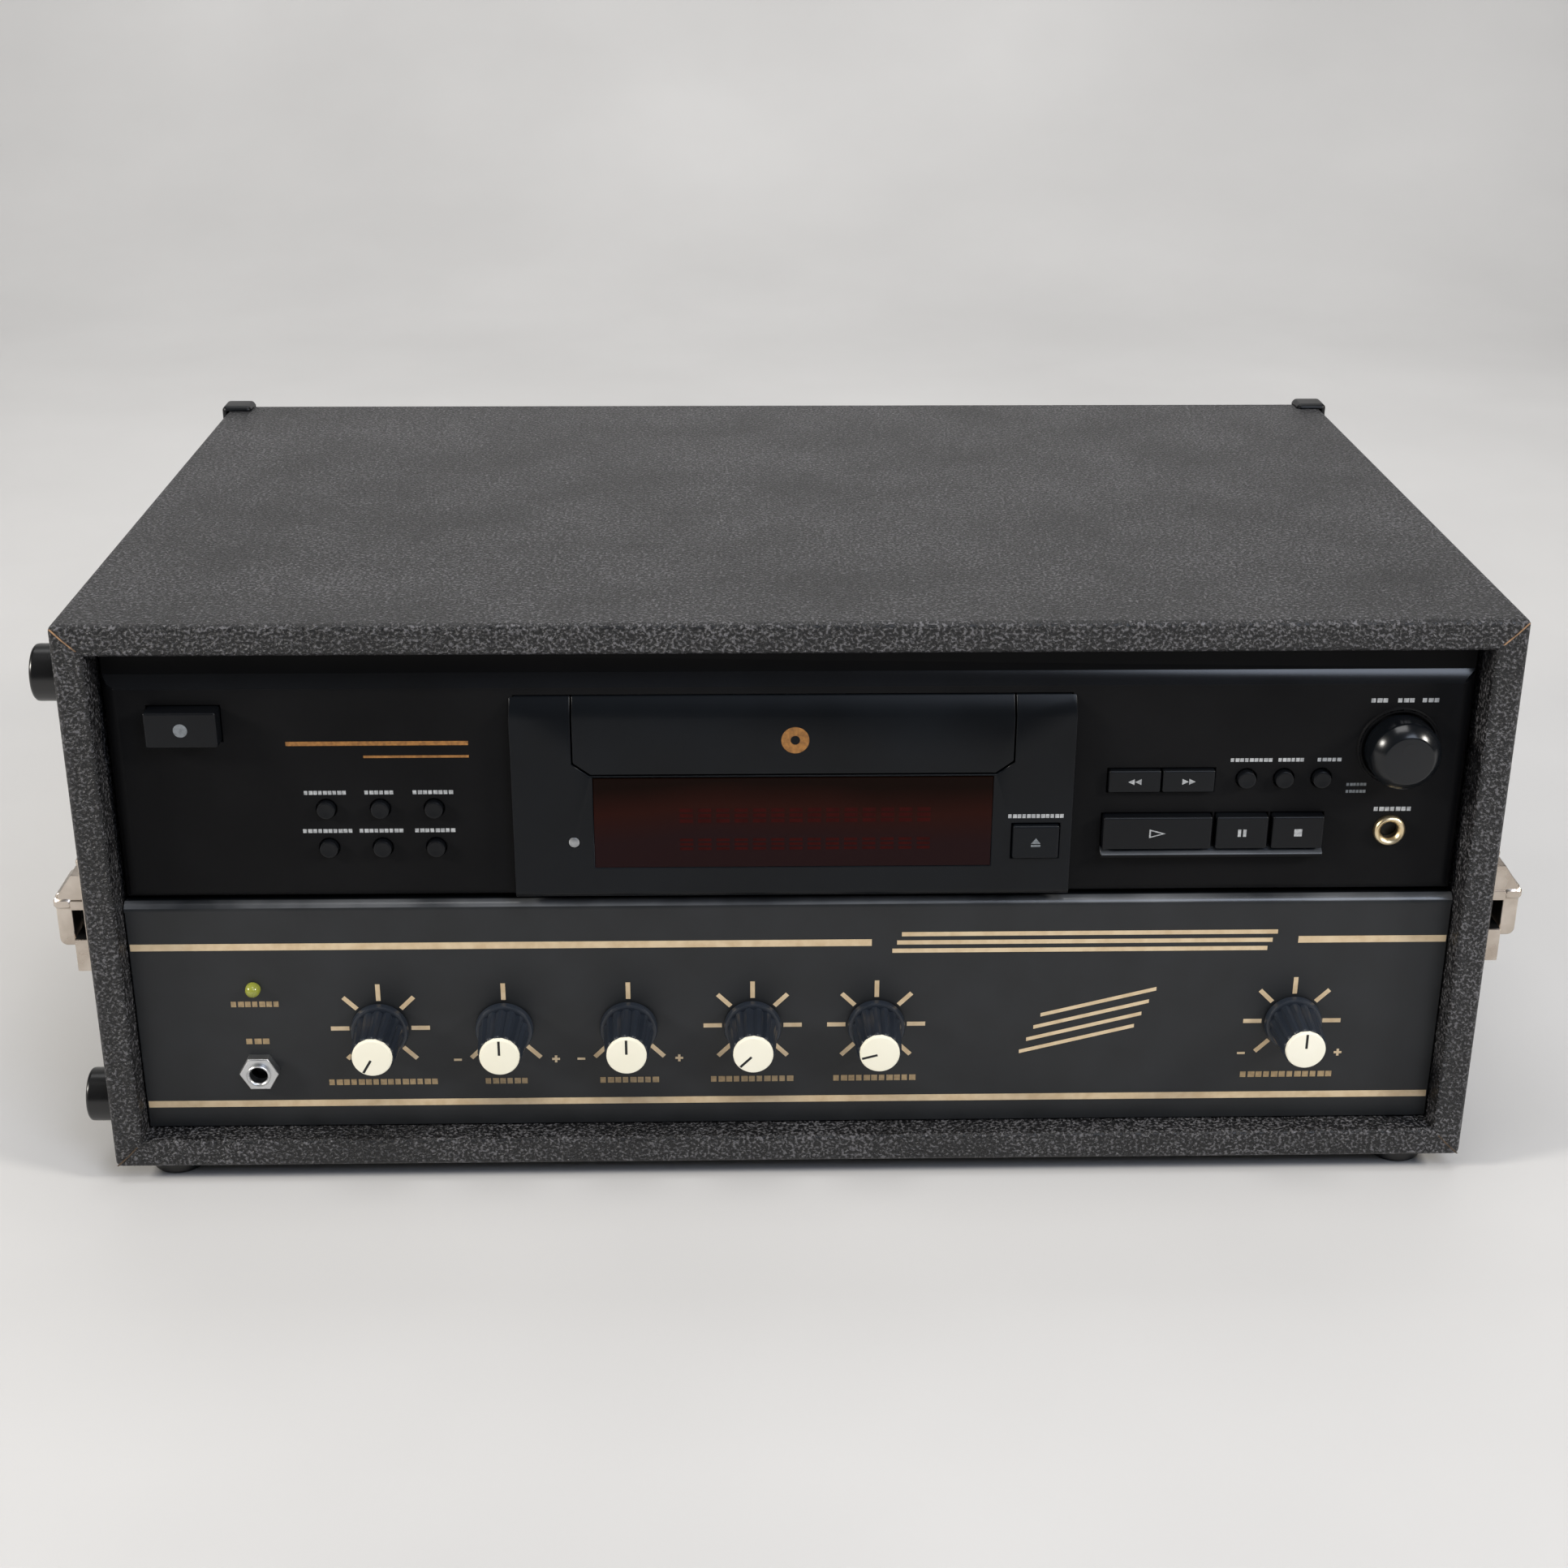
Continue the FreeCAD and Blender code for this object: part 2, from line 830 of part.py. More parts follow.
# Rack teeth along y, cut on the side that faces the gear
def tray_rack(start, end):
    pitch = math.pi * gear_module
    slant = math.tan(math.radians(pressure_angle)) * gear_module
    land = pitch / 4 - gear_play / 4
    tip, root = rack_line - gear_module, rack_line + 1.25 * gear_module
    back = root + rack_width
    points = [(back, end), (back, start)]
    first = math.ceil((start + pitch - gear_y) / pitch)
    last = math.floor((end - pitch - gear_y) / pitch)
    points.append((root, start))
    for i in range(first, last + 1):
        middle = gear_y + i * pitch
        points.append((root, middle - land - 1.25 * slant))
        points.append((tip, middle - land + slant))
        points.append((tip, middle + land - slant))
        points.append((root, middle + land + 1.25 * slant))
    points.append((root, end))
    return prism_z(points, (gear_low, tray_low))


def disc_tray():
    rear = tray_front_y + tray_length
    plate = block((-tray_half, tray_half), (tray_front_y, rear), (tray_low, tray_high))
    well_floor = tray_high - well_depth
    well = prism_z(ring(0, disc_y, well_radius, wide_ring_count), (well_floor, tray_high + 1))
    small_floor = well_floor - small_well_depth
    small_well = prism_z(ring(0, disc_y, small_well_radius, wide_ring_count), (small_floor, tray_high))
    slot_y = (disc_y - slot_width / 2, disc_y + slot_reach)
    slot = block(about(0, slot_width), slot_y, (tray_low - 1, tray_high))
    reach = gear_pitch_radius
    rack = tray_rack(gear_y - reach, gear_y + tray_travel + reach)
    return join([plate.cut([well, small_well, slot]), rack])


# Involute gear on a vertical post, turned so that a gap faces the rack tooth at rest
def tray_gear():
    pitch_r = gear_pitch_radius
    base_r = pitch_r * math.cos(math.radians(pressure_angle))
    tip_r = pitch_r + gear_module
    root_r = pitch_r - 1.25 * gear_module

    def involute(radius):
        angle = math.acos(min(1.0, base_r / radius))
        return math.tan(angle) - angle

    half_tooth = math.pi / (2 * gear_teeth) - gear_play / (4 * pitch_r) + involute(pitch_r)
    flank = [(root_r, half_tooth)]
    for radius in (base_r, tip_r):
        flank.append((radius, half_tooth - involute(radius)))
    points = []
    for tooth in range(gear_teeth):
        middle = math.tau * (tooth + 0.5) / gear_teeth
        for radius, angle in flank:
            points.append((radius * math.cos(middle - angle), radius * math.sin(middle - angle)))
        for radius, angle in reversed(flank):
            points.append((radius * math.cos(middle + angle), radius * math.sin(middle + angle)))
    low = gear_low + sliding_gap
    gear = prism_z(points, (low, low + gear_thick))
    gear.Placement = FreeCAD.Placement(vec(gear_x, gear_y, low), FreeCAD.Rotation())
    return gear.cut(bar_z(gear_x, gear_y, post_radius + running_gap, (low - 1, low + gear_thick + 1)))


def rod_z():
    return deck_base + rod_rise


def sled_y():
    middle = disc_y + sled_start
    return about(middle, sled_length)


def guide_rods():
    start = sled_y()[0] - rod_margin
    end = sled_y()[1] + sled_travel + rod_margin
    outlines = [ring(side * guide_rod_spread, rod_z(), guide_rod_radius) for side in (-1, 1)]
    return [prism_y(outline, (start, end)) for outline in outlines]


def platter_low():
    return tray_low - platter_drop - platter_thick


def spindle_motor():
    high = platter_low() - motor_drop
    body = block(about(0, motor_width), about(disc_y, motor_width), (high - motor_height, high))
    return body.cut(prism_z(ring_hole(0, disc_y, spindle_radius + running_gap), (high - motor_height, high)))


# A folded frame: two guide channels for the tray, a floor, the gear's shelf and holders for the rods
def mechanism_frame():
    outer = frame_half
    lip = tray_half - guide_lip
    y = (guide_front, guide_front + guide_length)
    lip_low = tray_high + sliding_gap
    ledge_top = tray_low - sliding_gap
    pieces = [block((-outer, outer), y, (frame_low, frame_low + frame_plate))]
    for side in (-1, 1):
        wall = sorted((side * (outer - guide_wall), side * outer))
        shelf = sorted((side * lip, side * outer))
        pieces.append(block(wall, y, (frame_low, lip_low + guide_thick)))
        pieces.append(block(shelf, y, (ledge_top - guide_thick, ledge_top)))
        pieces.append(block(shelf, y, (lip_low, lip_low + guide_thick)))
        foot_x = sorted((side * outer, side * (outer + guide_wall)))
        foot_z = (deck_base + deck_sheet, frame_low + frame_plate)
        pieces.append(block(foot_x, about(disc_y, frame_foot), foot_z))
    tip_r = gear_pitch_radius + gear_module
    gear_shelf = (gear_low - frame_plate, gear_low)
    pieces.append(block((gear_x - tip_r, outer), about(gear_y, tip_r * 2), gear_shelf))
    post_z = (gear_shelf[0], gear_low + sliding_gap + gear_thick)
    pieces.append(prism_z(ring(gear_x, gear_y, post_radius), post_z))
    motor_low = platter_low() - motor_drop - motor_height
    pieces.append(block(about(0, motor_width), about(disc_y, motor_width), (frame_low, motor_low)))
    rods = guide_rods()
    for rod in rods:
        box = rod.BoundBox
        holder_x = about((box.XMin + box.XMax) / 2, guide_rod_radius * 4)
        for end in (box.YMin - frame_plate, box.YMax):
            holder_y = (end, end + frame_plate)
            pieces.append(block(holder_x, holder_y, (frame_low, rod_z() + guide_rod_radius * 2)))
    return Part.Compound([join(pieces), spindle_motor()] + rods)


# Platter on its spindle
def turntable():
    low = platter_low()
    motor_low = low - motor_drop - motor_height
    platter = bar_z(0, disc_y, platter_radius, (low, low + platter_thick))
    return join([platter, prism_z(ring(0, disc_y, spindle_radius), (motor_low, low))])


# The sled runs with a bore on one rod and a fork on the other
def pickup_sled():
    y = sled_y()
    body = block(about(0, sled_width), y, about(rod_z(), sled_height))
    high = rod_z() + sled_height / 2
    lens_y = about(disc_y + sled_start, pickup_lens)
    lens = block(about(0, pickup_lens), lens_y, (high, high + pickup_lens_height))
    along = (y[0] - 1, y[1] + 1)
    bore = bar_y(guide_rod_spread, rod_z(), guide_rod_radius + running_gap, along)
    fork = block((-sled_width / 2 - 1, -guide_rod_spread + guide_rod_radius * 2), along,
                 about(rod_z(), (guide_rod_radius + running_gap) * 2))
    return join([body, lens]).cut([bore, fork])


def deck_chassis():
    x = deck_half - pan_inset
    y = (fascia_rear, deck_rear)
    floor = block((-x, x), y, (deck_base, deck_base + deck_sheet))
    rear = block((-x, x), (deck_rear - deck_sheet, deck_rear), (deck_base, deck_top - deck_sheet))
    pan_z = (deck_base, deck_base + pan_side)
    sides = [block(sorted((side * x, side * (x - deck_sheet))), y, pan_z) for side in (-1, 1)]
    through = (deck_rear - 2 * deck_sheet, deck_rear + 1)
    grille = []
    for slot in vent_slots():
        box = slot.BoundBox
        grille.append(block((box.XMin, box.XMax), through, (box.ZMin, box.ZMax)))
    return join([floor, rear] + sides).cut(grille)


def deck_cover():
    x = deck_half - pan_inset
    out = x + deck_sheet
    y = (fascia_rear, deck_rear)
    top = block((-out, out), y, (deck_top - deck_sheet, deck_top))
    side_z = (deck_base + fascia_wall, deck_top)
    sides = [block(sorted((side * x, side * out)), y, side_z) for side in (-1, 1)]
    return join([top] + sides)


# X limits of the two switch boards; the right one reaches in as far as the eject button
def switch_boards():
    outer = deck_half - fascia_wall - switch_board_margin / 2
    return (-outer, -bezel_half - switch_board_margin), (eject_place()[0] - eject_width / 2, outer)


# Posts on the inside of the fascia that the switch boards are fixed to
def bosses():
    inside = bezel_half + switch_board_margin + boss_width
    outside = deck_half - fascia_wall - switch_board_margin / 2 - boss_width
    posts = []
    for side in (-1, 1):
        for x, z in ((inside, step_z - boss_width * 2), (outside, deck_base + fascia_wall + boss_width)):
            post_x, post_z = about(side * x, boss_width), about(z, boss_width)
            posts.append(block(post_x, (wall_back, switch_board_y), post_z))
    return posts


# Push switches: each stands behind a button, clear of it by the button's travel
def push_switches(buttons):
    switches = []
    for name, button in buttons.items():
        box = button.BoundBox
        travel = power_travel if name == "power_button" else button_travel
        middle_x, middle_z = (box.XMin + box.XMax) / 2, (box.ZMin + box.ZMax) / 2
        y = (box.YMax + travel + sliding_gap, switch_board_y)
        switches.append(block(about(middle_x, switch_size), y, about(middle_z, switch_size)))
    return switches


def deck_boards(socket, buttons):
    pieces = push_switches(buttons)
    board_z = (deck_base + fascia_wall + 1, step_z - 1)
    board_y = (switch_board_y, switch_board_y + circuit_thick)
    box = socket.BoundBox
    room_x, room_z = (box.XMin - 1, box.XMax + 1), (box.ZMin - 1, box.ZMax + 1)
    socket_room = block(room_x, (wall_back, fascia_rear + 1), room_z)
    for limits in switch_boards():
        pieces.append(block(limits, board_y, board_z).cut(socket_room))
    encoder_y = (board_y[0] - encoder_size / 2, board_y[0])
    encoder = block(about(jog_x, encoder_size), encoder_y, about(jog_z, encoder_size))
    pieces.append(encoder.cut(prism_y(ring_hole(jog_x, jog_z, shaft_radius + running_gap), encoder_y)))
    x, z = window_limits(tube_inset)
    tube_y = bezel_front + window_thick + sliding_gap
    pieces.append(block(x, (tube_y, tube_y + tube_thick), z))
    pieces.append(block(x, (tube_y + tube_thick, tube_y + tube_thick + circuit_thick), z))
    floor = deck_base + deck_sheet
    main_x = (-deck_half + main_board_margin, -frame_half - main_board_gap)
    main_y = (deck_rear - main_board_margin - main_board_length, deck_rear - main_board_margin)
    pieces += board_on_pillars(main_x, main_y, floor, pillar_height)
    return Part.Compound(pieces)


def board_on_pillars(x, y, floor, height):
    pieces = [block(x, y, (floor + height, floor + height + circuit_thick))]
    for px in (x[0], x[1] - pillar_width):
        for py in (y[0], y[1] - pillar_width):
            pieces.append(block((px, px + pillar_width), (py, py + pillar_width), (floor, floor + height)))
    return pieces


# Headphone socket: a body behind the fascia and a plated ring through it
def headphone_socket():
    rim = prism_y(ring(jog_x, phones_z, jack_ring), (front - jack_ring_height, wall_back))
    end = front - jack_ring_height + jack_depth
    body = block(about(jog_x, jack_body), (wall_back, end + fascia_wall), about(phones_z, jack_body))
    bore = bar_y(jog_x, phones_z, jack_radius, (front - jack_ring_height - 1, end))
    return join([rim, body]).cut(bore)


def jog_shaft():
    tip = front - jog_back - jog_length * 0.6
    return prism_y(ring(jog_x, jog_z, shaft_radius), (tip, switch_board_y - jog_travel - sliding_gap))


def jog_dial():
    back = front - jog_back
    face = back - jog_length
    straight = jog_length - jog_shoulder
    foot = prism_z(ring(0, 0, jog_radius, wide_ring_count), (0, straight))
    shoulder = faceted(level_ring(jog_radius, straight, wide_ring_count),
                       level_ring(jog_face_radius, jog_length, wide_ring_count))
    body = facing_front(join([foot, shoulder]), jog_x, back, jog_z)
    dimple_z = jog_z + jog_face_radius - jog_dimple * 1.6
    dimple = prism_y(ring(jog_x, dimple_z, jog_dimple), (face - 1, face + jog_dimple_depth))
    tip = back - jog_length * 0.6
    bore = bar_y(jog_x, jog_z, shaft_radius + running_gap, (tip - sliding_gap, back + 1))
    return body.cut([dimple, bore])


# Front panel of the amplifier: sheet with its top edge rolled back
def amp_panel():
    inside = max(amp_bend - amp_sheet, 0.5)
    profile = [(front, board + panel_gap), (front, amp_top, amp_bend), (front + amp_return, amp_top),
               (front + amp_return, amp_top - amp_sheet), (front + amp_sheet, amp_top - amp_sheet, inside),
               (front + amp_sheet, board + panel_gap)]
    panel = prism_x(profile, (-inner + panel_gap, inner - panel_gap))
    through = (front - 1, front + amp_sheet + 1)
    holes = [prism_y(ring_hole(x, knob_z, shaft_radius + running_gap), through) for x in knob_places]
    holes.append(prism_y(ring(mic_x, board + lamp_rise, lamp_radius), through))
    holes.append(prism_y(ring(mic_x, mic_z, jack_bush), through))
    return panel.cut(holes)


def power_lamp():
    z = board + lamp_rise
    return prism_y(ring(mic_x, z, lamp_radius), (front - lamp_proud, front + amp_sheet + lamp_length))


def hexagon(flats, height):
    radius = flats / math.sqrt(3)
    corners = [(radius * math.cos(math.tau * i / 6), radius * math.sin(math.tau * i / 6)) for i in range(6)]
    return prism_z(corners, (0, height))


# Plug socket with a bush, a hexagon nut in front of its panel and a body behind
def panel_jack(sheet):
    bush = prism_z(ring(0, 0, jack_bush), (-sheet, nut_height + nut_proud))
    corner = vec(-jack_body / 2, -jack_body / 2, -sheet - jack_depth)
    body = Part.makeBox(jack_body, jack_body, jack_depth, corner)
    bore = Part.makeCylinder(jack_radius, jack_depth, vec(0, 0, nut_height + nut_proud - jack_depth))
    return join([bush, body, hexagon(nut_flats, nut_height)]).cut(bore)


# Body of a control behind the panel, open in the middle for the shaft
def knob_pot():
    low = -amp_sheet - pot_depth
    body = Part.makeBox(pot_width, pot_width, pot_depth, vec(-pot_width / 2, -pot_width / 2, low))
    room = (shaft_radius + sliding_gap) * 2
    return body.cut(Part.makeBox(room, room, pot_depth, vec(-room / 2, -room / 2, low)))


# Corners of a ring with a ridge and a hollow for every flute of the grip
def knob_ring(radius, height):
    points = []
    for i in range(flute_count * 2):
        reach = radius * (1 - flute_share * (i % 2))
        turn = math.pi * i / flute_count
        points.append(vec(reach * math.cos(turn), reach * math.sin(turn), height))
    return points


# A solid with flat sides between two such rings
def faceted(low, high):
    faces = [Part.Face(Part.makePolygon(ring + ring[:1])) for ring in (low, high)]
    for i in range(len(low)):
        side = [low[i - 1], low[i], high[i], high[i - 1], low[i - 1]]
        faces.append(Part.Face(Part.makePolygon(side)))
    return Part.Solid(Part.Shell(faces))


# Corners of a plain ring at a height
def level_ring(radius, height, flats=ring_count):
    return [vec(u, v, height) for u, v in ring(0, 0, radius, flats)]


# Knob: shaft, fluted grip on a skirt, and a pale cap with a pointer line at the given clock angle
def knob(pointer):
    tip = knob_gap + knob_length
    skirt_top = knob_gap + knob_skirt
    shaft_low = -amp_sheet - pot_depth
    shaft = prism_z(ring(0, 0, shaft_radius), (shaft_low, skirt_top))
    skirt = faceted(level_ring(knob_skirt_radius, knob_gap), level_ring(knob_skirt_radius, skirt_top))
    grip = faceted(knob_ring(knob_base_radius, skirt_top), knob_ring(knob_tip_radius, tip))
    cap = faceted(level_ring(cap_radius, tip), level_ring(cap_radius - cap_bevel, tip + cap_height))
    line = Part.makeBox(pointer_width, cap_radius + 1, pointer_depth + 1,
                        vec(-pointer_width / 2, 0, tip + cap_height - pointer_depth))
    line.rotate(vec(0, 0, 0), up, -pointer)
    return Part.Compound([join([shaft, skirt, grip]), cap.cut(line)])


# Floor, upturned lip behind the front panel and upright rear plate
def amp_chassis(rear_holes):
    x = inner - chassis_inset
    lip_y = front + amp_sheet
    floor = block((-x, x), (lip_y, back_face), (board, amp_floor))
    lip = block((-x, x), (lip_y, lip_y + chassis_sheet), (board, board + chassis_lip / 2))
    plate_y = (back_face - chassis_sheet, back_face)
    plate = block((-plate_left, plate_right), plate_y, (board, board + plate_top))
    return join([floor, lip, plate]).cut(rear_holes)


def inlet_outline(grow):
    width, height, corner = inlet_width / 2 + grow, inlet_height / 2 + grow, inlet_height / 4
    low, high = rear_z - height, rear_z + height
    return [(inlet_x - width, low), (inlet_x + width, low), (inlet_x + width, high - corner),
            (inlet_x + width - corner, high), (inlet_x - width + corner, high),
            (inlet_x - width, high - corner)]


# Mains inlet with three blades
def mains_inlet():
    y = (back_face - inlet_depth - inlet_wall, back_face)
    body = prism_y(inlet_outline(inlet_wall), y)
    rim = prism_y(inlet_outline(inlet_wall * 2), (back_face, back_face + inlet_flange))
    cavity_y = (back_face - inlet_depth, back_face + inlet_flange + 1)
    shell = join([body, rim]).cut(prism_y(inlet_outline(0), cavity_y))
    blades = []
    for side in (-1, 0, 1):
        z = rear_z + (0 if side else -blade_height / 2)
        blade_x = about(inlet_x + side * blade_pitch, blade_width)
        blades.append(block(blade_x, (cavity_y[0] - 1, back_face - blade_sink), (z, z + blade_height)))
    return join([shell] + blades)


def switch_housing():
    width, height = switch_width + switch_wall * 2, switch_height + switch_wall * 2
    y = (back_face - switch_depth, back_face)
    body = block(about(switch_x, width), y, about(rear_z, height))
    rim = block(about(switch_x, width + switch_wall), (back_face, back_face + switch_wall),
                about(rear_z, height + switch_wall))
    room_y = (y[0] + switch_wall, back_face + switch_wall + 1)
    room = block(about(switch_x, switch_width), room_y, about(rear_z, switch_height))
    return join([join([body, rim]).cut(room), rocker_pin()])


def rocker_pin():
    return bar_x(rocker_y(), rear_z, pin_radius, about(switch_x, switch_width + switch_wall * 2))


def rocker_y():
    return back_face - rocker_radius * math.sin(math.radians(rocker_tilt))


# Rocker with two faces that meet at a shallow angle, resting on its off side
def mains_switch():
    y = rocker_y()
    reach = switch_height / 2 - sliding_gap * 2
    rise = reach * math.tan(math.radians(rocker_tilt))
    top = y + rocker_radius / 2
    corners = [(top, rear_z), (top + rise, rear_z + reach), (y, rear_z + reach),
               (y - rocker_radius / 2, rear_z), (y, rear_z - reach), (top + rise, rear_z - reach)]
    body = prism_x(corners, about(switch_x, switch_width - sliding_gap * 2))
    body.rotate(vec(switch_x, y, rear_z), right, rocker_tilt)
    return body.cut(bar_x(y, rear_z, pin_radius + running_gap, about(switch_x, switch_width)))


# Everything that is fixed to the rear plate, and the holes that it needs there
def rear_sockets():
    speaker = facing_back(panel_jack(chassis_sheet), speaker_x, back_face, rear_z)
    pieces = [mains_inlet(), switch_housing(), speaker]
    through = (back_face - chassis_sheet - 1, back_face + 1)
    housing_x = about(switch_x, switch_width + switch_wall * 2)
    housing_z = about(rear_z, switch_height + switch_wall * 2)
    holes = [prism_y(inlet_outline(inlet_wall), through), block(housing_x, through, housing_z),
             prism_y(ring(speaker_x, rear_z, jack_bush), through)]
    return Part.Compound(pieces), holes


# Main board on pillars, the six controls behind the panel and a finned heat sink
def amp_board():
    pieces = [facing_front(knob_pot(), x, front, knob_z) for x in knob_places]
    rear = back_face - amp_board_margin
    y = (rear - amp_board_length, rear)
    low_x = -inner + cleat + core_width + core_gap * 2
    x = (low_x, low_x + amp_board_width)
    high = amp_floor + amp_board_rise + circuit_thick
    pieces += board_on_pillars(x, y, amp_floor, amp_board_rise)
    middle = x[1] - sink_width / 2 - sink_fin
    fins = [block(about(middle, sink_width), (y[1] - sink_base, y[1]), (high, high + sink_height))]
    for i in range(sink_fin_count):
        fx = middle - sink_width / 2 + i * (sink_width - sink_fin) / (sink_fin_count - 1)
        fin_y = (y[1] - sink_base - sink_fin_reach, y[1] - sink_base)
        fins.append(block((fx, fx + sink_fin), fin_y, (high, high + sink_height)))
    pieces.append(join(fins))
    return Part.Compound(pieces)


# Laminated core with two windows, and the coil round its middle limb
def mains_transformer():
    x = -inner + cleat + core_gap + core_width / 2
    y = back_face - cleat - core_gap - coil_length / 2
    core_z = (amp_floor, amp_floor + core_height)
    coil_z = (amp_floor + core_limb / 2, amp_floor + core_height - core_limb / 2)
    core = block(about(x, core_width), about(y, core_depth), core_z)
    windows = []
    for side in (-1, 1):
        middle = x + side * (core_limb + core_window) / 2
        windows.append(block(about(middle, core_window), about(y, coil_length), coil_z))
    coil = block(about(x, core_limb + core_window * 2), about(y, coil_length), coil_z)
    coil = coil.cut(block(about(x, core_limb), about(y, core_depth), core_z))
    return Part.Compound([core.cut(windows), coil])


def build():
    nodes = case_boards(case_envelope())
    strap = carry_strap()
    nodes["back_panel"] = back_panel()
    nodes["case_cleats"] = case_cleats()
    nodes["rubber_feet"] = rubber_feet()
    nodes["corner_caps"] = corner_caps()
    nodes["carry_strap"] = strap
    nodes["strap_ends"] = strap_ends(strap)
    nodes["latch_bodies"] = Part.Compound([latch_body(), mirrored(latch_body())])
    nodes["latch_lever_left"] = latch_lever()
    nodes["latch_lever_right"] = mirrored(latch_lever())

    buttons, holes = deck_buttons()
    buttons["eject_button"] = eject_button()
    nodes.update(buttons)
    nodes["deck_fascia"] = deck_fascia(holes)
    nodes["tray_bezel"] = tray_bezel()
    nodes["display_window"] = display_window()
    nodes["remote_lens"] = remote_lens()
    nodes["headphone_socket"] = headphone_socket()
    nodes["jog_shaft"] = jog_shaft()
    nodes["jog_dial"] = jog_dial()
    nodes["deck_chassis"] = deck_chassis()
    nodes["deck_cover"] = deck_cover()
    nodes["deck_boards"] = deck_boards(nodes["headphone_socket"], buttons)
    nodes["tray_front"] = tray_front()
    nodes["disc_tray"] = disc_tray()
    nodes["tray_gear"] = tray_gear()
    nodes["mechanism_frame"] = mechanism_frame()
    nodes["turntable"] = turntable()
    nodes["pickup_sled"] = pickup_sled()

    sockets, rear_holes = rear_sockets()
    nodes["amp_panel"] = amp_panel()
    nodes["amp_chassis"] = amp_chassis(rear_holes)
    nodes["amp_board"] = amp_board()
    nodes["power_lamp"] = power_lamp()
    nodes["mic_socket"] = facing_front(panel_jack(amp_sheet), mic_x, front, mic_z)
    names = ("mic", "bass", "treble", "second", "main", "speed")
    pointers = (-135, 0, 0, -135, -105, 0)
    for name, x, pointer in zip(names, knob_places, pointers):
        nodes[f"{name}_knob"] = facing_front(knob(pointer), x, front, knob_z)
    nodes["mains_transformer"] = mains_transformer()
    nodes["rear_sockets"] = sockets
    nodes["mains_switch"] = mains_switch()
    return nodes


# The outline reaches past the case at the latch, the strap, the knobs and the rear caps
left_reach = max(latch_reach, side_foot_height, cap_thick)
right_reach = strap_rise + strap_thick
front_reach = max(knob_gap + knob_length + cap_height, jog_back + jog_length) - front
middle_shift = vec((left_reach - right_reach) / 2, (front_reach - case_depth - cap_thick) / 2, foot_height)

os.makedirs("parts", exist_ok=True)
for name, shape in build().items():
    moved = shape.copy()
    moved.translate(middle_shift)
    moved.exportStep(f"parts/{name}.step")
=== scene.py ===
import math

import bmesh
import bpy
from mathutils import Matrix, Vector


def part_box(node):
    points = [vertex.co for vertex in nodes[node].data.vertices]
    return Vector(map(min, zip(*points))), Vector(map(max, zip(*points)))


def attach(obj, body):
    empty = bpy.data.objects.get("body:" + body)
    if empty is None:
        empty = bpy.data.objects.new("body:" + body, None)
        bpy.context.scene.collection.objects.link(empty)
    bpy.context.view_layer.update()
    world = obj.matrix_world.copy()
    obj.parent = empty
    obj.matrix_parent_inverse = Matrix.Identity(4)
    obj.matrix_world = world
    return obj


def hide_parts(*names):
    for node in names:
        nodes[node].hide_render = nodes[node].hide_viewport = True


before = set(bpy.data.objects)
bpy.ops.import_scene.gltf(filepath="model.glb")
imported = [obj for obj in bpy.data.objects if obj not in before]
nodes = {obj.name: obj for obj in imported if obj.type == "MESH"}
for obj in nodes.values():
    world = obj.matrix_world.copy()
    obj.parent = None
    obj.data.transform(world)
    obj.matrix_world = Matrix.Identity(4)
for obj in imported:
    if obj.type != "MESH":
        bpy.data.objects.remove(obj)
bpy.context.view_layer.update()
print("frame:", len(nodes), "nodes")

# Everything is drawn in millimetres from the middle of the case, its front edge and its underside
leftLow = Vector(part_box("left_board")[0])
rightHigh = Vector(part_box("right_board")[1])
underside = Vector(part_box("bottom_board")[0])
caseOrigin = Vector(((leftLow.x + rightHigh.x) / 2, leftLow.y, underside.z))
caseToPart = Matrix.Translation(caseOrigin) @ Matrix.Scale(0.001, 4)
partToCase = caseToPart.inverted()
toFront = (0, -1, 0)

caseSize = {"half": 226.0, "height": 191.0, "depth": 280.0, "board": 10.0, "front": 9.0}


def hexColour(text):
    parts = [int(text[i:i + 2], 16) / 255 for i in (1, 3, 5)]
    return [p / 12.92 if p <= 0.04045 else ((p + 0.055) / 1.055) ** 2.4 for p in parts] + [1.0]


# Adds a node with its settings, its inputs as values or links, a ramp's stops and the socket it feeds
def addNode(tree, kind, inputs, to=None, stops=None, **settings):
    node = tree.nodes.new(kind)
    for name, value in settings.items():
        setattr(node, name, value)
    for name, value in inputs.items():
        if isinstance(value, bpy.types.Node):
            tree.links.new(value.outputs[0], node.inputs[name])
        elif isinstance(value, bpy.types.NodeSocket):
            tree.links.new(value, node.inputs[name])
        else:
            node.inputs[name].default_value = value
    for i, (place, colour) in enumerate(stops or ()):
        ramp = node.color_ramp.elements
        element = ramp[i] if i < 2 else ramp.new(place)
        element.position = place
        element.color = hexColour(colour)
    if to:
        tree.links.new(node.outputs[0], to)
    return node


# A material with its fixed values, and the object's own coordinates for its patterns
def startMaterial(name, **values):
    material = bpy.data.materials.new(name)
    material.use_nodes = True
    tree = material.node_tree
    shader = tree.nodes["Principled BSDF"]
    for key, value in values.items():
        shader.inputs[key.replace("_", " ")].default_value = value
    where = addNode(tree, "ShaderNodeTexCoord", {}).outputs["Object"]
    return material, tree, shader.inputs, where


# Patterns repeat once in this many millimetres
def every(mm):
    return 1000 / mm


def addNoise(tree, where, mm, detail=2.0, **inputs):
    return addNode(tree, "ShaderNodeTexNoise", {"Vector": where, "Scale": every(mm), "Detail": detail, **inputs})


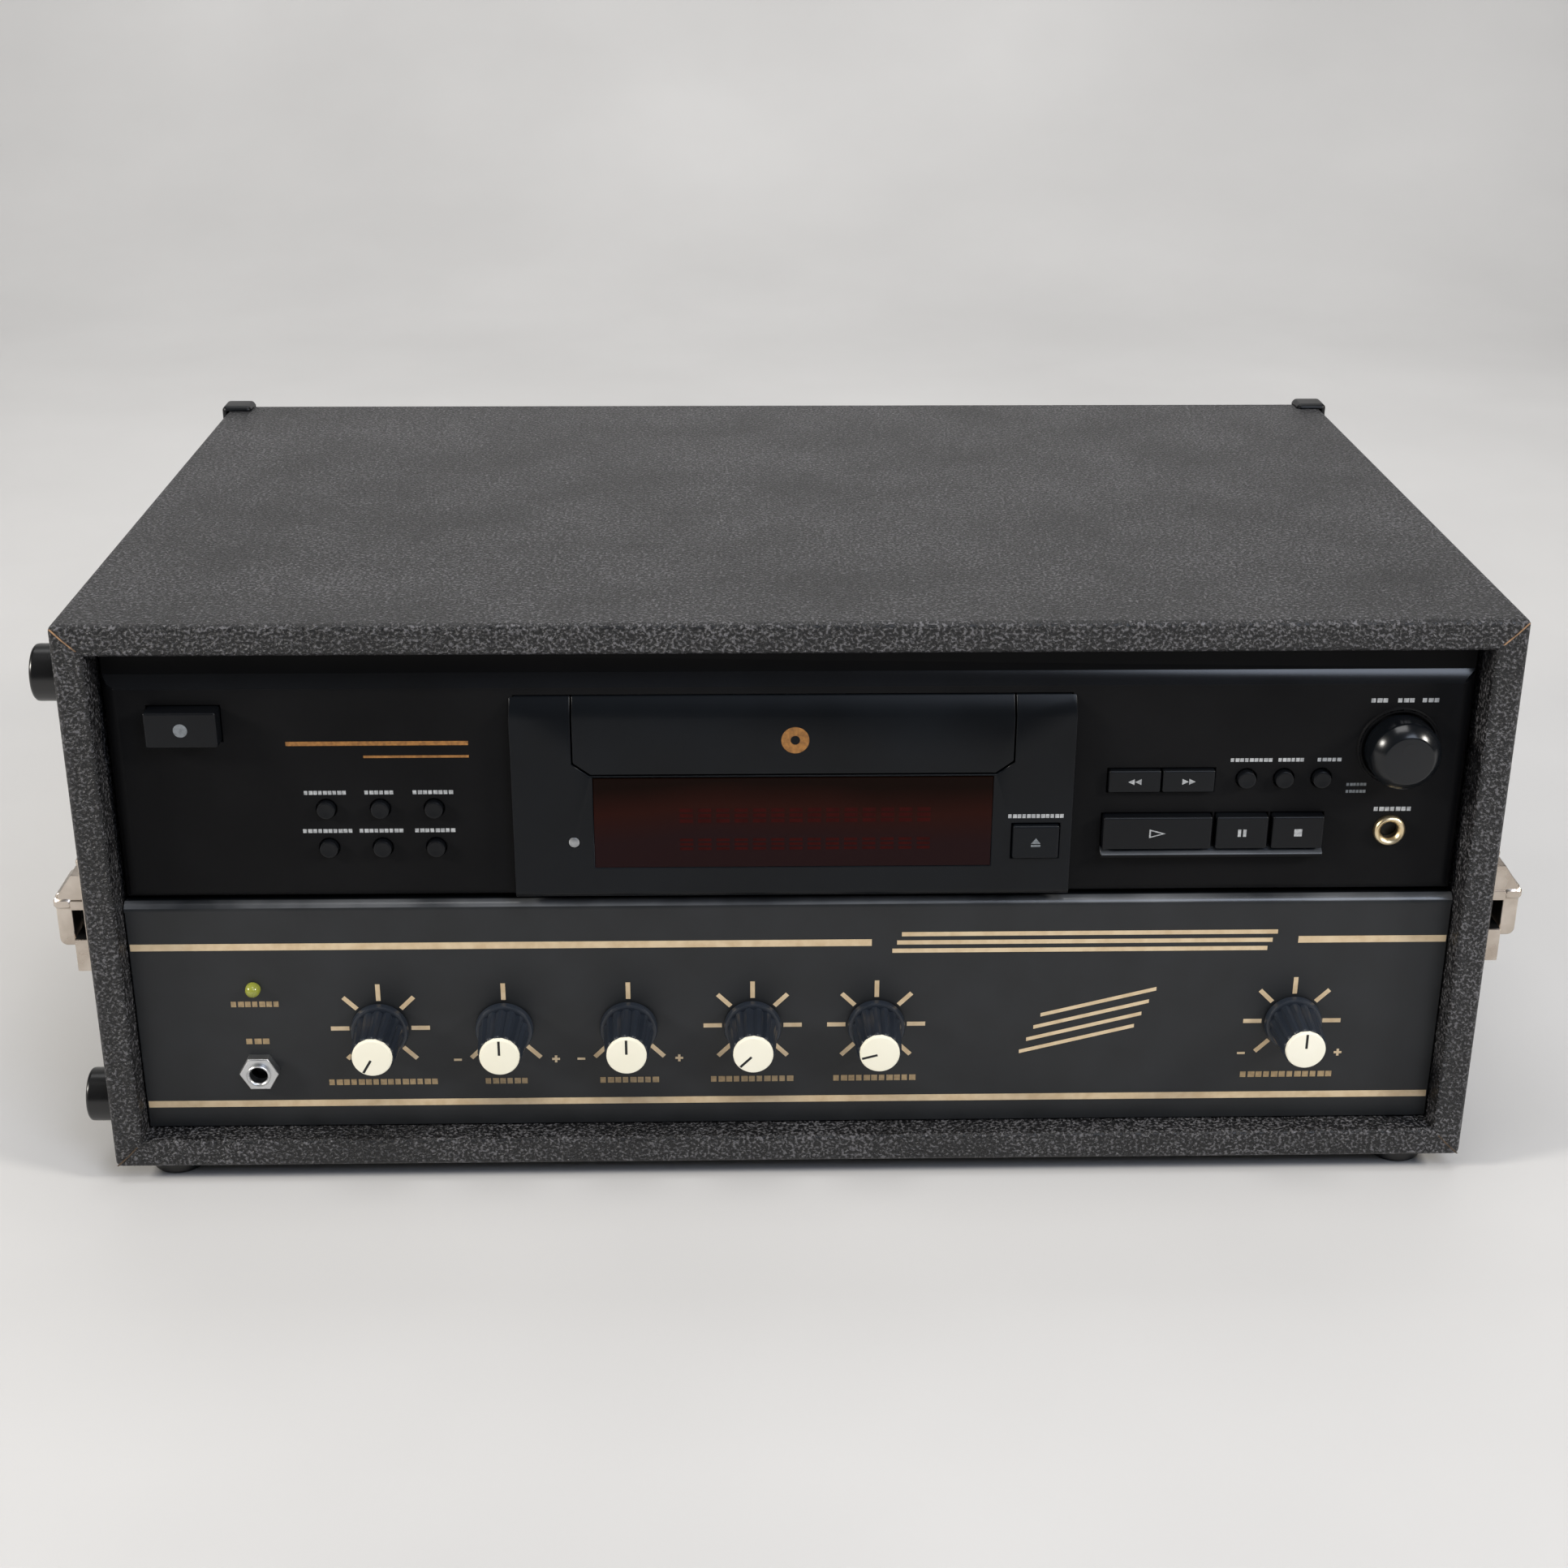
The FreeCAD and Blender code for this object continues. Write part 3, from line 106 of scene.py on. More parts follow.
# What a pattern drives in the shader: the colour, the gloss, or a relief in millimetres
def addTone(tree, sockets, pattern, *stops):
    addNode(tree, "ShaderNodeValToRGB", {"Fac": pattern}, sockets["Base Color"], stops)


def addGloss(tree, sockets, pattern, rough):
    addNode(tree, "ShaderNodeMapRange", {"Value": pattern, "To Min": rough[0], "To Max": rough[1]},
            sockets["Roughness"])


def addRelief(tree, sockets, pattern, strength, mm):
    addNode(tree, "ShaderNodeBump", {"Height": pattern, "Strength": strength, "Distance": mm / 1000},
            sockets["Normal"])


# Vinyl leathercloth, embossed with a creased grain: painted shade darkens the hollows, the tips are painted pale as
# wear and as painted glints, and the relief glints on the upper flanks
def makeVinyl():
    material, tree, sockets, where = startMaterial("embossedVinyl", Specular_IOR_Level=0.5)
    grain = addNoise(tree, where, 1.05, Roughness=0.5, Distortion=0.2)
    tips = addNode(tree, "ShaderNodeMapRange", {"Value": grain, "From Min": 0.43, "From Max": 0.68})
    fine = addNoise(tree, where, 0.8)
    patch = addNoise(tree, where, 38, 5.0)
    unevenPatches = addNode(tree, "ShaderNodeMapRange", {"Value": patch, "From Min": 0.3, "From Max": 0.75, "To Min": 0.5})
    paleTipsAndGlints = addNode(tree, "ShaderNodeMath", {0: tips, 1: unevenPatches}, operation="MULTIPLY")
    # painted shade in the hollows, and pale tips that are partly wear and partly painted glints
    addTone(tree, sockets, paleTipsAndGlints, (0.1, "#0e0e10"), (0.3, "#212123"), (0.63, "#5f5e61"))
    addNode(tree, "ShaderNodeMapRange",
            {"Value": fine, "From Min": 0.3, "From Max": 0.7, "To Min": 0.3, "To Max": 0.55}, sockets["Roughness"])
    height = addNode(tree, "ShaderNodeMath", {0: fine, 1: 0.3, 2: tips}, operation="MULTIPLY_ADD")
    addRelief(tree, sockets, height, 1.0, 0.5)
    return material


# Moulded plastic or rubber: the tool's spark texture spreads the light, and flow leaves faint clouds in its gloss
def makeMoulded(name, dark, pale, rough, shine=0.5, grainMm=0.45, reliefMm=0.02, coat=0.0):
    values = {"Specular_IOR_Level": shine, "Coat_Weight": coat, "Coat_Roughness": 0.08}
    material, tree, sockets, where = startMaterial(name, **values)
    grain = addNoise(tree, where, grainMm)
    cloud = addNoise(tree, where, 35, 3.0)
    addTone(tree, sockets, cloud, (0.3, dark), (0.7, pale))
    addGloss(tree, sockets, cloud, rough)
    addRelief(tree, sockets, grain, 0.6, reliefMm)
    return material


# Plated or bare metal, polished then handled: blotches in its gloss and fine drawn scratches
def makeMetal(name, dark, pale, rough, scratchMm=0.25, reliefMm=0.01):
    material, tree, sockets, where = startMaterial(name, Metallic=1.0)
    stretch = 14.0
    blotch = addNoise(tree, where, 9, 5.0)
    drawn = addNode(tree, "ShaderNodeMapping", {"Vector": where, "Scale": (1.0, stretch, 1.0)})
    scratch = addNoise(tree, drawn, scratchMm * stretch)
    addTone(tree, sockets, blotch, (0.3, dark), (0.7, pale))
    addGloss(tree, sockets, blotch, rough)
    addRelief(tree, sockets, scratch, 0.35, reliefMm)
    return material


# Stoved paint on sheet steel: slight orange peel, and dust that dulls it in patches
def makePanelPaint():
    material, tree, sockets, where = startMaterial("stovedPaint", Specular_IOR_Level=0.45)
    peel = addNoise(tree, where, 0.9)
    dust = addNoise(tree, where, 18, 6.0)
    addTone(tree, sockets, dust, (0.3, "#17191b"), (0.75, "#212326"))
    addGloss(tree, sockets, dust, (0.38, 0.55))
    addRelief(tree, sockets, peel, 0.5, 0.03)
    return material


# Screen ink, thread or cloth tape: thin, so its tone is a little uneven
def makeInk(name, dark, pale, rough=0.5, metallic=0.0, patchMm=1.2, shine=0.5):
    material, tree, sockets, where = startMaterial(name, Metallic=metallic, Specular_IOR_Level=shine)
    film = addNoise(tree, where, patchMm, 3.0)
    addTone(tree, sockets, film, (0.3, dark), (0.65, pale))
    addGloss(tree, sockets, film, (rough - 0.08, rough + 0.08))
    return material


# Vegetable-tanned strap leather, dyed black: creased grain, satin on the high spots
def makeLeather():
    material, tree, sockets, where = startMaterial("dyedLeather")
    cell = addNode(tree, "ShaderNodeTexVoronoi", {"Vector": where, "Scale": every(0.9)}, feature="DISTANCE_TO_EDGE")
    crease = addNode(tree, "ShaderNodeMapRange", {"Value": cell, "From Max": 0.18})
    tone = addNoise(tree, where, 22, 4.0)
    addTone(tree, sockets, tone, (0.3, "#151414"), (0.75, "#2b2827"))
    addGloss(tree, sockets, tone, (0.42, 0.62))
    addRelief(tree, sockets, crease, 0.7, 0.12)
    return material


# Rotary-cut ply, raw or under one coat of black paint: long grain that the paint doesn't fill
def makePly(name, dark, pale, rough):
    material, tree, sockets, where = startMaterial(name, Roughness=rough)
    along = addNode(tree, "ShaderNodeMapping", {"Vector": where, "Scale": (1.0, 9.0, 9.0)})
    grain = addNoise(tree, along, 22, 6.0)
    addTone(tree, sockets, grain, (0.35, dark), (0.68, pale))
    addRelief(tree, sockets, grain, 0.5, 0.15)
    return material


# Glass-fibre laminate under green lacquer, with the tracks standing in it as a grid
def makeLaminate():
    material, tree, sockets, where = startMaterial("lacqueredLaminate", Roughness=0.35)
    tracks = addNode(tree, "ShaderNodeTexBrick", {
        "Vector": where, "Scale": every(14), "Color1": hexColour("#2f5a35"), "Color2": hexColour("#3b6a3d"),
        "Mortar": hexColour("#26482b"), "Mortar Size": 0.06}, sockets["Base Color"])
    addRelief(tree, sockets, tracks.outputs["Fac"], 0.4, 0.05)
    return material


# Stamped iron sheets in a stack, varnished: fine lines along every face
def makeLaminations():
    material, tree, sockets, where = startMaterial("varnishedLaminations", Metallic=0.7, Roughness=0.45)
    sheets = addNode(tree, "ShaderNodeTexWave", {"Vector": where, "Scale": every(1.4 * 20), "Distortion": 0.4},
                     bands_direction="Y").outputs["Fac"]
    addTone(tree, sockets, sheets, (0.2, "#3d3733"), (0.8, "#6a625b"))
    addRelief(tree, sockets, sheets, 0.6, 0.1)
    return material


# Smoked red acrylic, polished, its colour by height a painted reflection: nearly black above, brown and then dull red
# below
def makeAcrylic():
    material, tree, sockets, where = startMaterial("smokedAcrylic", Roughness=0.16, Specular_IOR_Level=0.06)
    level = addNode(tree, "ShaderNodeSeparateXYZ", {"Vector": where}).outputs["Z"]
    cloud = addNoise(tree, where, 60)
    waved = addNode(tree, "ShaderNodeMath", {0: cloud, 1: 0.012, 2: level}, operation="MULTIPLY_ADD")
    # painted reflection: the colour changes with height
    depth = addNode(tree, "ShaderNodeMapRange", {"Value": waved, "From Min": 0.120, "From Max": 0.150})
    addTone(tree, sockets, depth, (0.3, "#1f1011"), (0.62, "#260e09"), (0.9, "#100502"))
    return material


vinyl = makeVinyl()
fasciaPlastic = makeMoulded("sparkTexturedAbs", "#111112", "#161617", (0.42, 0.52), 0.07)   # near black and dull
bezelPlastic = makeMoulded("polishedAbs", "#090b0e", "#0e1115", (0.26, 0.36), 0.2, reliefMm=0.006)   # blue-black
glossPlastic = makeMoulded("polishedBevelAbs", "#0b0c0e", "#101216", (0.16, 0.22), reliefMm=0.003)   # lit by a lamp
keyPlastic = makeMoulded("satinAbs", "#0a0b0e", "#0f1114", (0.28, 0.38), 0.22, reliefMm=0.012)   # paler than the front
dialPlastic = makeMoulded("turnedAbs", "#0a0c0f", "#0e1115", (0.18, 0.26), 0.4, reliefMm=0.006)   # clear lamp spots
knobPlastic = makeMoulded("phenolicBlack", "#1b2028", "#262c35", (0.28, 0.4), reliefMm=0.012)   # blue-grey on the ribs
ivoryPlastic = makeMoulded("ivoryStyrene", "#f6f1da", "#fdf9e8", (0.34, 0.42), 0.4, reliefMm=0.006)   # warm white
rubber = makeMoulded("mouldedRubber", "#060607", "#0b0b0c", (0.24, 0.32), 0.6, 0.6, 0.006)   # wet where a lamp meets it
trayPlastic = makeMoulded("textureTrayAbs", "#1c1c1d", "#262627", (0.45, 0.55), 0.4, 0.6, 0.04)   # coarse and dull
nylon = makeMoulded("whiteNylon", "#d9d6cc", "#e8e5dc", (0.4, 0.5))   # milky
lampResin = makeMoulded("tintedResin", "#878b33", "#a3a74c", (0.16, 0.24), reliefMm=0.003, coat=0.3)   # yellow-green
nickel = makeMetal("wornNickelPlate", "#b5a99c", "#d6ccc1", (0.2, 0.38))   # warm, almost cream
chrome = makeMetal("chromedBrass", "#c6c7c8", "#e2e3e4", (0.3, 0.4), 0.8, 0.004)   # cold and bright
goldPlate = makeMetal("goldPlate", "#e0c99e", "#f1e2c0", (0.28, 0.4), 0.8, 0.004)   # a pale yellow rim
zincSheet = makeMetal("zincSheet", "#8f9193", "#b4b6b8", (0.3, 0.48))   # grey and cloudy
aluminium = makeMetal("castAluminium", "#a3a5a7", "#c2c4c6", (0.34, 0.5))   # soft and even
screwSteel = makeMetal("blackenedSteel", "#3a3a3b", "#5c5c5d", (0.3, 0.45))   # dark with a cold edge
panelPaint = makePanelPaint()
paintedLedgeHighlight = makeMoulded("paintedHighlightAbs", "#3a3d41", "#55585d", (0.25, 0.33), reliefMm=0.006)   # painted highlight: a pale grey line under the keys
paintedEdgeHighlight = makeMoulded("paintedEdgeHighlight", "#2c2e31", "#6b6d70", (0.22, 0.3), 0.6, reliefMm=0.004)   # painted highlight: a pale line on the rolled edge
goldInk = makeInk("goldScreenInk", "#cbb28d", "#dcc6a3", 0.42, 0.1, 4.0)   # tan, with a little flake
fineGoldInk = makeInk("thinGoldScreenInk", "#8d7859", "#a8916d", 0.5)   # the black shows through it
paleInk = makeInk("paleScreenInk", "#8b8d8f", "#b9bbbc")   # soft grey-white
dimInk = makeInk("greyScreenInk", "#5f6468", "#7d8286")   # half as bright
bronzeInk = makeInk("bronzeScreenInk", "#7a5226", "#a37138", 0.45, 0.1)   # brown-gold
blackInkAndShade = makeInk("blackInkAndPaintedShade", "#060606", "#0c0c0c")   # black print, and painted shade in holes and recesses
unlitCells = makeInk("unlitDisplayCells", "#2a0a09", "#330c0a", 0.3, 0.0, 3.0, 0.05)   # barely redder than the window
seamBacking = makeInk("tanClothBacking", "#6b5440", "#b08a66", 0.8, patchMm=2.5)   # a tan thread of cloth in the black
lowerSeamBacking = makeInk("lowerClothBacking", "#33291f", "#5e4c3a", 0.8, patchMm=2.5)   # the same cloth, darker at the bottom corners
thread = makeInk("waxedThread", "#2b2826", "#4b4641", 0.7)   # dull brown-grey
leather = makeLeather()
rawPly = makePly("rawBirchPly", "#8a6b48", "#b08d63", 0.7)
paintedPly = makePly("blackPaintedPly", "#161616", "#242425", 0.55)
laminate = makeLaminate()
ironCore = makeLaminations()
acrylic = makeAcrylic()
print("materials:", len(bpy.data.materials))

# Angles between faces: a shaded crease is kept above the first, a packed edge is softened above the second,
# and an edge above the third is nearly square
angles = {"crease": math.radians(38), "soften": math.radians(35), "square": 1.0}
inkThick = 0.08


# A mesh drawn in case millimetres becomes a piece that rides on a body
def addPiece(name, bm, materials, body, stands=()):
    bmesh.ops.transform(bm, matrix=caseToPart, verts=bm.verts)
    mesh = bpy.data.meshes.new(name)
    bm.to_mesh(mesh)
    bm.free()
    for material in materials:
        mesh.materials.append(material)
    mesh.shade_smooth()
    mesh.set_sharp_from_angle(angle=angles["crease"])
    piece = bpy.data.objects.new(name, mesh)
    bpy.context.scene.collection.objects.link(piece)
    flats = piece.modifiers.new("flats", "WEIGHTED_NORMAL")   # large faces stay flat beside their bevels
    flats.keep_sharp = True
    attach(piece, body)
    if stands:
        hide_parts(*stands)


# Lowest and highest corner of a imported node, in case millimetres
def caseBox(node):
    return [partToCase @ Vector(corner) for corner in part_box(node)]


def roundEdges(bm, edges, radius, steps):
    bmesh.ops.bevel(bm, geom=edges, offset=radius, segments=steps, profile=0.5, affect="EDGES", material=-1)


def pickVerts(grown):
    return [g for g in grown if isinstance(g, bmesh.types.BMVert)]


# The faces made since a moment are turned outward, or take a material
def faceOut(bm, before=()):
    bmesh.ops.recalc_face_normals(bm, faces=[f for f in bm.faces if f not in before])


def paintNew(bm, before, index):
    for face in bm.faces:
        if face not in before:
            face.material_index = index


# Gives flat faces a thickness
def thicken(bm, faces, way):
    grown = bmesh.ops.extrude_face_region(bm, geom=faces)["geom"]
    bmesh.ops.translate(bm, vec=way, verts=pickVerts(grown))


# Grows a row of edges into faces, and gives the new row
def growEdges(bm, edges):
    grown = bmesh.ops.extrude_edge_only(bm, edges=edges)["geom"]
    verts = pickVerts(grown)
    return verts, [g for g in grown if isinstance(g, bmesh.types.BMEdge) and all(v in verts for v in g.verts)]


# Block between two corners, its chosen edges rounded
def addBlock(bm, low, high, edge=0.0, steps=2, index=0, pick=None, turn=None):
    before = set(bm.faces)
    size = Vector(high) - Vector(low)
    middle = (Vector(high) + Vector(low)) / 2
    made = bmesh.ops.create_cube(bm, size=1.0, matrix=Matrix.Translation(middle) @ Matrix.Diagonal((*size, 1.0)))
    edges = {e for v in made["verts"] for e in v.link_edges}
    if turn:
        bmesh.ops.transform(bm, matrix=turn, verts=made["verts"])
    if edge:
        roundEdges(bm, [e for e in edges if pick is None or pick(e)], edge, steps)
    paintNew(bm, before, index)


# Turned shape: (radius, distance along the axis) points spun about an axis through a place
def addTurned(bm, profile, place, axis, steps=32, index=0):
    before = set(bm.faces)
    axis = Vector(axis)
    across = axis.orthogonal().normalized()
    place = Vector(place)
    verts = [bm.verts.new(place + across * r + axis * a) for r, a in profile]
    edges = [bm.edges.new(pair) for pair in zip(verts, verts[1:])]
    bmesh.ops.spin(bm, geom=verts + edges, cent=place, axis=axis, dvec=(0, 0, 0), angle=math.tau, steps=steps,
                   use_merge=True)
    new = [f for f in bm.faces if f not in before]
    bmesh.ops.remove_doubles(bm, verts=list({v for f in new for v in f.verts}), dist=0.001)
    faceOut(bm, before)
    paintNew(bm, before, index)


# Flat printed patch on a face that looks to the front, through corners given as (x, z)
def addPrint(bm, corners, y, index=0, thick=inkThick):
    before = set(bm.faces)
    face = bm.faces.new([bm.verts.new((x, y, z)) for x, z in corners])
    thicken(bm, [face], (0, -thick, 0))
    faceOut(bm, before)
    paintNew(bm, before, index)


def barOutline(x, z):
    return ((x[0], z[0]), (x[1], z[0]), (x[1], z[1]), (x[0], z[1]))


def addBar(bm, x, z, y, index=0):
    addPrint(bm, barOutline(x, z), y, index)


# A row of plain dashes: a dash's pitch against its height, and how much of the pitch is inked
dashes = {"pitch": 1.2, "shares": (0.72, 0.85, 0.78)}


def addDashes(bm, x, z, width, height, y, index=0):
    count = max(round(width / (height * dashes["pitch"])), 2)
    for i in range(count):
        left = x - width / 2 + i * width / count
        right = left + width / count * dashes["shares"][i % 3]
        addBar(bm, (left, right), (z - height / 2, z + height / 2), y, index)


# Pan-head screw with a cross recess, the recess a dark block as painted shade: shares of its head's radius, and the
# part of a quarter that the cross is turned
screw = {"rise": 0.55, "slot": 0.5, "slotHalf": 0.09, "turn": 0.2}


def addScrew(bm, place, axis, radius, index, darkIndex):
    axis = Vector(axis)
    rise = radius * screw["rise"]
    profile = [(0, -0.2), (radius, -0.2), (radius, 0), (radius * 0.96, rise * 0.45), (radius * 0.7, rise * 0.85),
               (radius * 0.3, rise), (0, rise)]
    addTurned(bm, profile, place, axis, 20, index)
    turn = Matrix.Translation(Vector(place) + axis * rise) @ axis.to_track_quat("Z", "Y").to_matrix().to_4x4()
    half, thin = radius * screw["slot"], radius * screw["slotHalf"]
    # painted shade: the cross recess is drawn as a dark block on the head
    for quarter in (screw["turn"], screw["turn"] + 1):
        spin = turn @ Matrix.Rotation(quarter * math.pi / 2, 4, "Z")
        addBlock(bm, (-half, -thin, -0.25), (half, thin, 0.03), index=darkIndex, turn=spin)


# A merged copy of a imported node, its outer edges softened as moulding or tumbling leaves them
def softenedCopy(source, edge, steps=2, shortest=0.0):
    bm = bmesh.new()
    bm.from_mesh(nodes[source].data)
    bmesh.ops.transform(bm, matrix=partToCase, verts=bm.verts)
    bmesh.ops.remove_doubles(bm, verts=bm.verts, dist=0.003)
    rims = [e for e in bm.edges if e.is_manifold and e.is_convex and e.calc_length() > shortest
            and e.calc_face_angle() > angles["soften"]]
    roundEdges(bm, rims, edge, steps)
    return bm


# Camera where the photograph was taken, found from the corners of the case
camera = {"place": (-24.34, -790.39, 422.85), "tilt": 22.946, "yaw": -1.397, "roll": -0.207, "lens": 52.28,
          "sensor": 36.0, "rise": -0.00155, "near": 0.01}


def addCamera():
    data = bpy.data.cameras.new("photoView")
    data.sensor_width = camera["sensor"]
    data.lens = camera["lens"]
    data.shift_y = camera["rise"]
    data.clip_start = camera["near"]
    view = bpy.data.objects.new("photoView", data)
    turn = Matrix.Rotation(math.radians(camera["yaw"]), 4, "Z")
    turn = turn @ Matrix.Rotation(math.radians(90 - camera["tilt"]), 4, "X")
    turn = turn @ Matrix.Rotation(math.radians(-camera["roll"]), 4, "Z")
    view.matrix_world = Matrix.Translation(Vector(camera["place"]) / 1000) @ turn
    bpy.context.scene.collection.objects.link(view)
    bpy.context.scene.camera = view


addCamera()
print("camera set")

# Covered case: four boards wrapped as one sleeve, open at the front and the back
caseEdges = {"outer": 2.0, "mouth": 1.6, "steps": 4}
# The cloth backing shows where the covering meets at each front mitre
seam = {"width": 0.6, "fromOutside": 0.9, "fromMouth": 2.0, "bow": 0.5, "face": 0.02, "thick": 0.16}


def addCase():
    half, height, board = caseSize["half"], caseSize["height"], caseSize["board"]
    bm = bmesh.new()
    corners = ((-1, 0), (1, 0), (1, 1), (-1, 1))
    outer = [bm.verts.new((x * half, 0, z * height)) for x, z in corners]
    inner = [bm.verts.new((x * (half - board), 0, board + z * (height - board * 2))) for x, z in corners]
    rings = [bm.edges.new((ring[i - 1], ring[i])) for ring in (outer, inner) for i in range(4)]
    bmesh.ops.bridge_loops(bm, edges=rings)
    thicken(bm, bm.faces[:], (0, caseSize["depth"], 0))
    faceOut(bm)
    nearSide = half - 1
    outside = [e for e in bm.edges if all(abs(v.co.x) > nearSide for v in e.verts)]
    mouth = [e for e in bm.edges if all(abs(v.co.x) < nearSide for v in e.verts)
             and abs(e.verts[0].co.y - e.verts[1].co.y) < 1]
    roundEdges(bm, outside, caseEdges["outer"], caseEdges["steps"])
    mouth = [e for e in mouth if e.is_valid]
    roundEdges(bm, mouth, caseEdges["mouth"], caseEdges["steps"])
    addPiece("caseSleeve", bm, [vinyl], "case",
             ["top_board", "bottom_board", "left_board", "right_board"])

    bm = bmesh.new()
    w, outset, inset = seam["width"] / 2, seam["fromOutside"], board - seam["fromMouth"]
    for x, z in corners:
        outX, inX = (half - outset) * x, (half - inset) * x
        outZ, inZ = (height - outset, height - inset) if z else (outset, inset)
        midX, midZ = (outX + inX) / 2 + seam["bow"] * x * (z - 0.5), (outZ + inZ) / 2
        outline = [(outX - w, outZ), (midX - w, midZ), (inX - w, inZ),
                   (inX + w, inZ), (midX + w, midZ), (outX + w, outZ)]
        addPrint(bm, outline, seam["face"], 0 if z else 1, seam["thick"])
    addPiece("mitreSeams", bm, [seamBacking, lowerSeamBacking], "case")


addCase()

# Moulded feet below and on the left side, each held by a screw in its hollow
foot = {"radius": 9.0, "height": 6.5, "sideHeight": 9.3, "inset": 208.0, "front": 15.0, "rear": 259.0,
        "sideLevels": (20.0, 171.0), "hollow": 2.6, "hollowRadius": 4.3, "screw": 2.9}


def addFeet():
    bm = bmesh.new()
    for y in (foot["front"], foot["rear"]):
        places = [((side * foot["inset"], y, 0), (0, 0, -1), foot["height"]) for side in (-1, 1)]
        places += [((-caseSize["half"], y, z), (-1, 0, 0), foot["sideHeight"]) for z in foot["sideLevels"]]
        for place, axis, h in places:
            r, d, floor = foot["radius"], foot["hollowRadius"], h - foot["hollow"]
            profile = [(0, floor), (d - 0.9, floor), (d - 0.4, floor + 0.4), (d, h - 0.3), (d + 0.5, h), (r - 1.3, h),
                       (r - 0.6, h - 0.2), (r - 0.15, h - 0.65), (r, h - 1.3), (r, 0), (0, 0)]
            addTurned(bm, profile, place, axis, 40)
            addScrew(bm, Vector(place) + Vector(axis) * floor, axis, foot["screw"], 1, 2)
    addPiece("rubberFeet", bm, [rubber, screwSteel, blackInkAndShade], "case", ["rubber_feet"])


addFeet()
addPiece("rearCorners", softenedCopy("corner_caps", 0.6), [keyPlastic], "case", ["corner_caps"])
print("case, feet and corners done")

# Carrying strap: flat leather between two end caps, arched off the side, its stitches half sunk
strap = {"middle": 140.0, "level": 95.5, "width": 26.0, "thick": 4.0, "seat": 1.0, "rise": 17.0, "half": 103.5,
         "top": 45.0, "foot": 72.0, "blend": 4.0, "crown": 0.35, "sunk": 0.45, "play": 0.1, "edge": 1.0}
stitch = {"pitch": 3.4, "inset": 2.6, "last": 80.0, "sunk": 0.42, "half": (0.3, 1.15, 0.35), "edge": 0.2}
strapScrews = {"out": 9.0, "along": 99.0, "up": 11.5, "radius": 2.6}


def strapLift(away):
    share = (strap["foot"] + strap["blend"] - away) / (strap["foot"] - strap["top"] + strap["blend"] * 2)
    share = min(max(share, 0), 1)
    return strap["seat"] + (strap["rise"] - strap["seat"]) * share * share * (3 - 2 * share)


def addStrap():
    side, middle, level = caseSize["half"], strap["middle"], strap["level"]
    bm = bmesh.new()
    sheet = bmesh.ops.create_grid(bm, x_segments=6, y_segments=92, size=0.5)
    bmesh.ops.scale(bm, vec=(strap["width"], strap["half"] * 2, 1), verts=sheet["verts"])
    for v in sheet["verts"]:
        across, along = v.co.x, v.co.y
        crown = strap["crown"] * (1 - (2 * across / strap["width"]) ** 2)
        v.co = (side + strapLift(abs(along)) + crown - strap["sunk"], middle + along, level + across)
    thicken(bm, bm.faces[:], (strap["thick"] - strap["play"], 0, 0))
    faceOut(bm)
    rims = [e for e in bm.edges if e.is_manifold and e.calc_face_angle() > angles["square"]]
    roundEdges(bm, rims, strap["edge"], 3)
    half = Vector(stitch["half"])
    for row in (-1, 1):
        z = level + row * (strap["width"] / 2 - stitch["inset"])
        for i in range(int(stitch["last"] * 2 / stitch["pitch"])):
            along = -stitch["last"] + (i + 0.5) * stitch["pitch"]
            x = side + strapLift(abs(along)) + strap["thick"] - stitch["sunk"]
            slope = math.atan2(strapLift(abs(along + 1)) - strapLift(abs(along - 1)), 2)
            turn = Matrix.Translation((x, middle + along, z)) @ Matrix.Rotation(-slope, 4, "Z")
            addBlock(bm, -half, half, stitch["edge"], 1, 1, turn=turn)
    addPiece("carryStrap", bm, [leather, thread], "case", ["carry_strap"])

    bm = softenedCopy("strap_ends", 0.8)
    for end in (-1, 1):
        for row in (-1, 1):
            place = (side + strapScrews["out"], middle + end * strapScrews["along"], level + row * strapScrews["up"])
            addScrew(bm, place, (1, 0, 0), strapScrews["radius"], 1, 2)
    addPiece("strapEnds", bm, [keyPlastic, nickel, blackInkAndShade], "case", ["strap_ends"])


addStrap()

# Draw latches on both sides: a riveted plate with a folded hood, cheeks and a slot, and the lever that turns in them.
# Sizes outward from the side, along the depth, and up
latch = {"plate": 1.0, "inner": 5.0, "reach": 10.4, "front": 4.0, "back": 28.0, "cheek": 2.6, "low": 72.0,
         "high": 112.0, "sill": 83.5, "slotTop": 93.9, "shoulder": 98.2, "roll": 1.1, "hoodInset": 0.6,
         "hoodEdge": 0.5, "rivet": 1.7, "rivetLevels": (76.0, 109.0), "rivetInset": 4.5}
latchHood = ((0, 94.0), (0, 106.2), (3.8, 106.2), (8.8, 99.0), (8.8, 94.0))
# The black lining of a slot, painted shade: its distance from the side, how far it runs under the metal, and where it
# ends
slotShadeLining = {"out": (0.9, 1.1), "lap": 0.3, "short": 1.0, "sillFront": 0.4, "sillRise": 0.05, "endLap": 0.5}


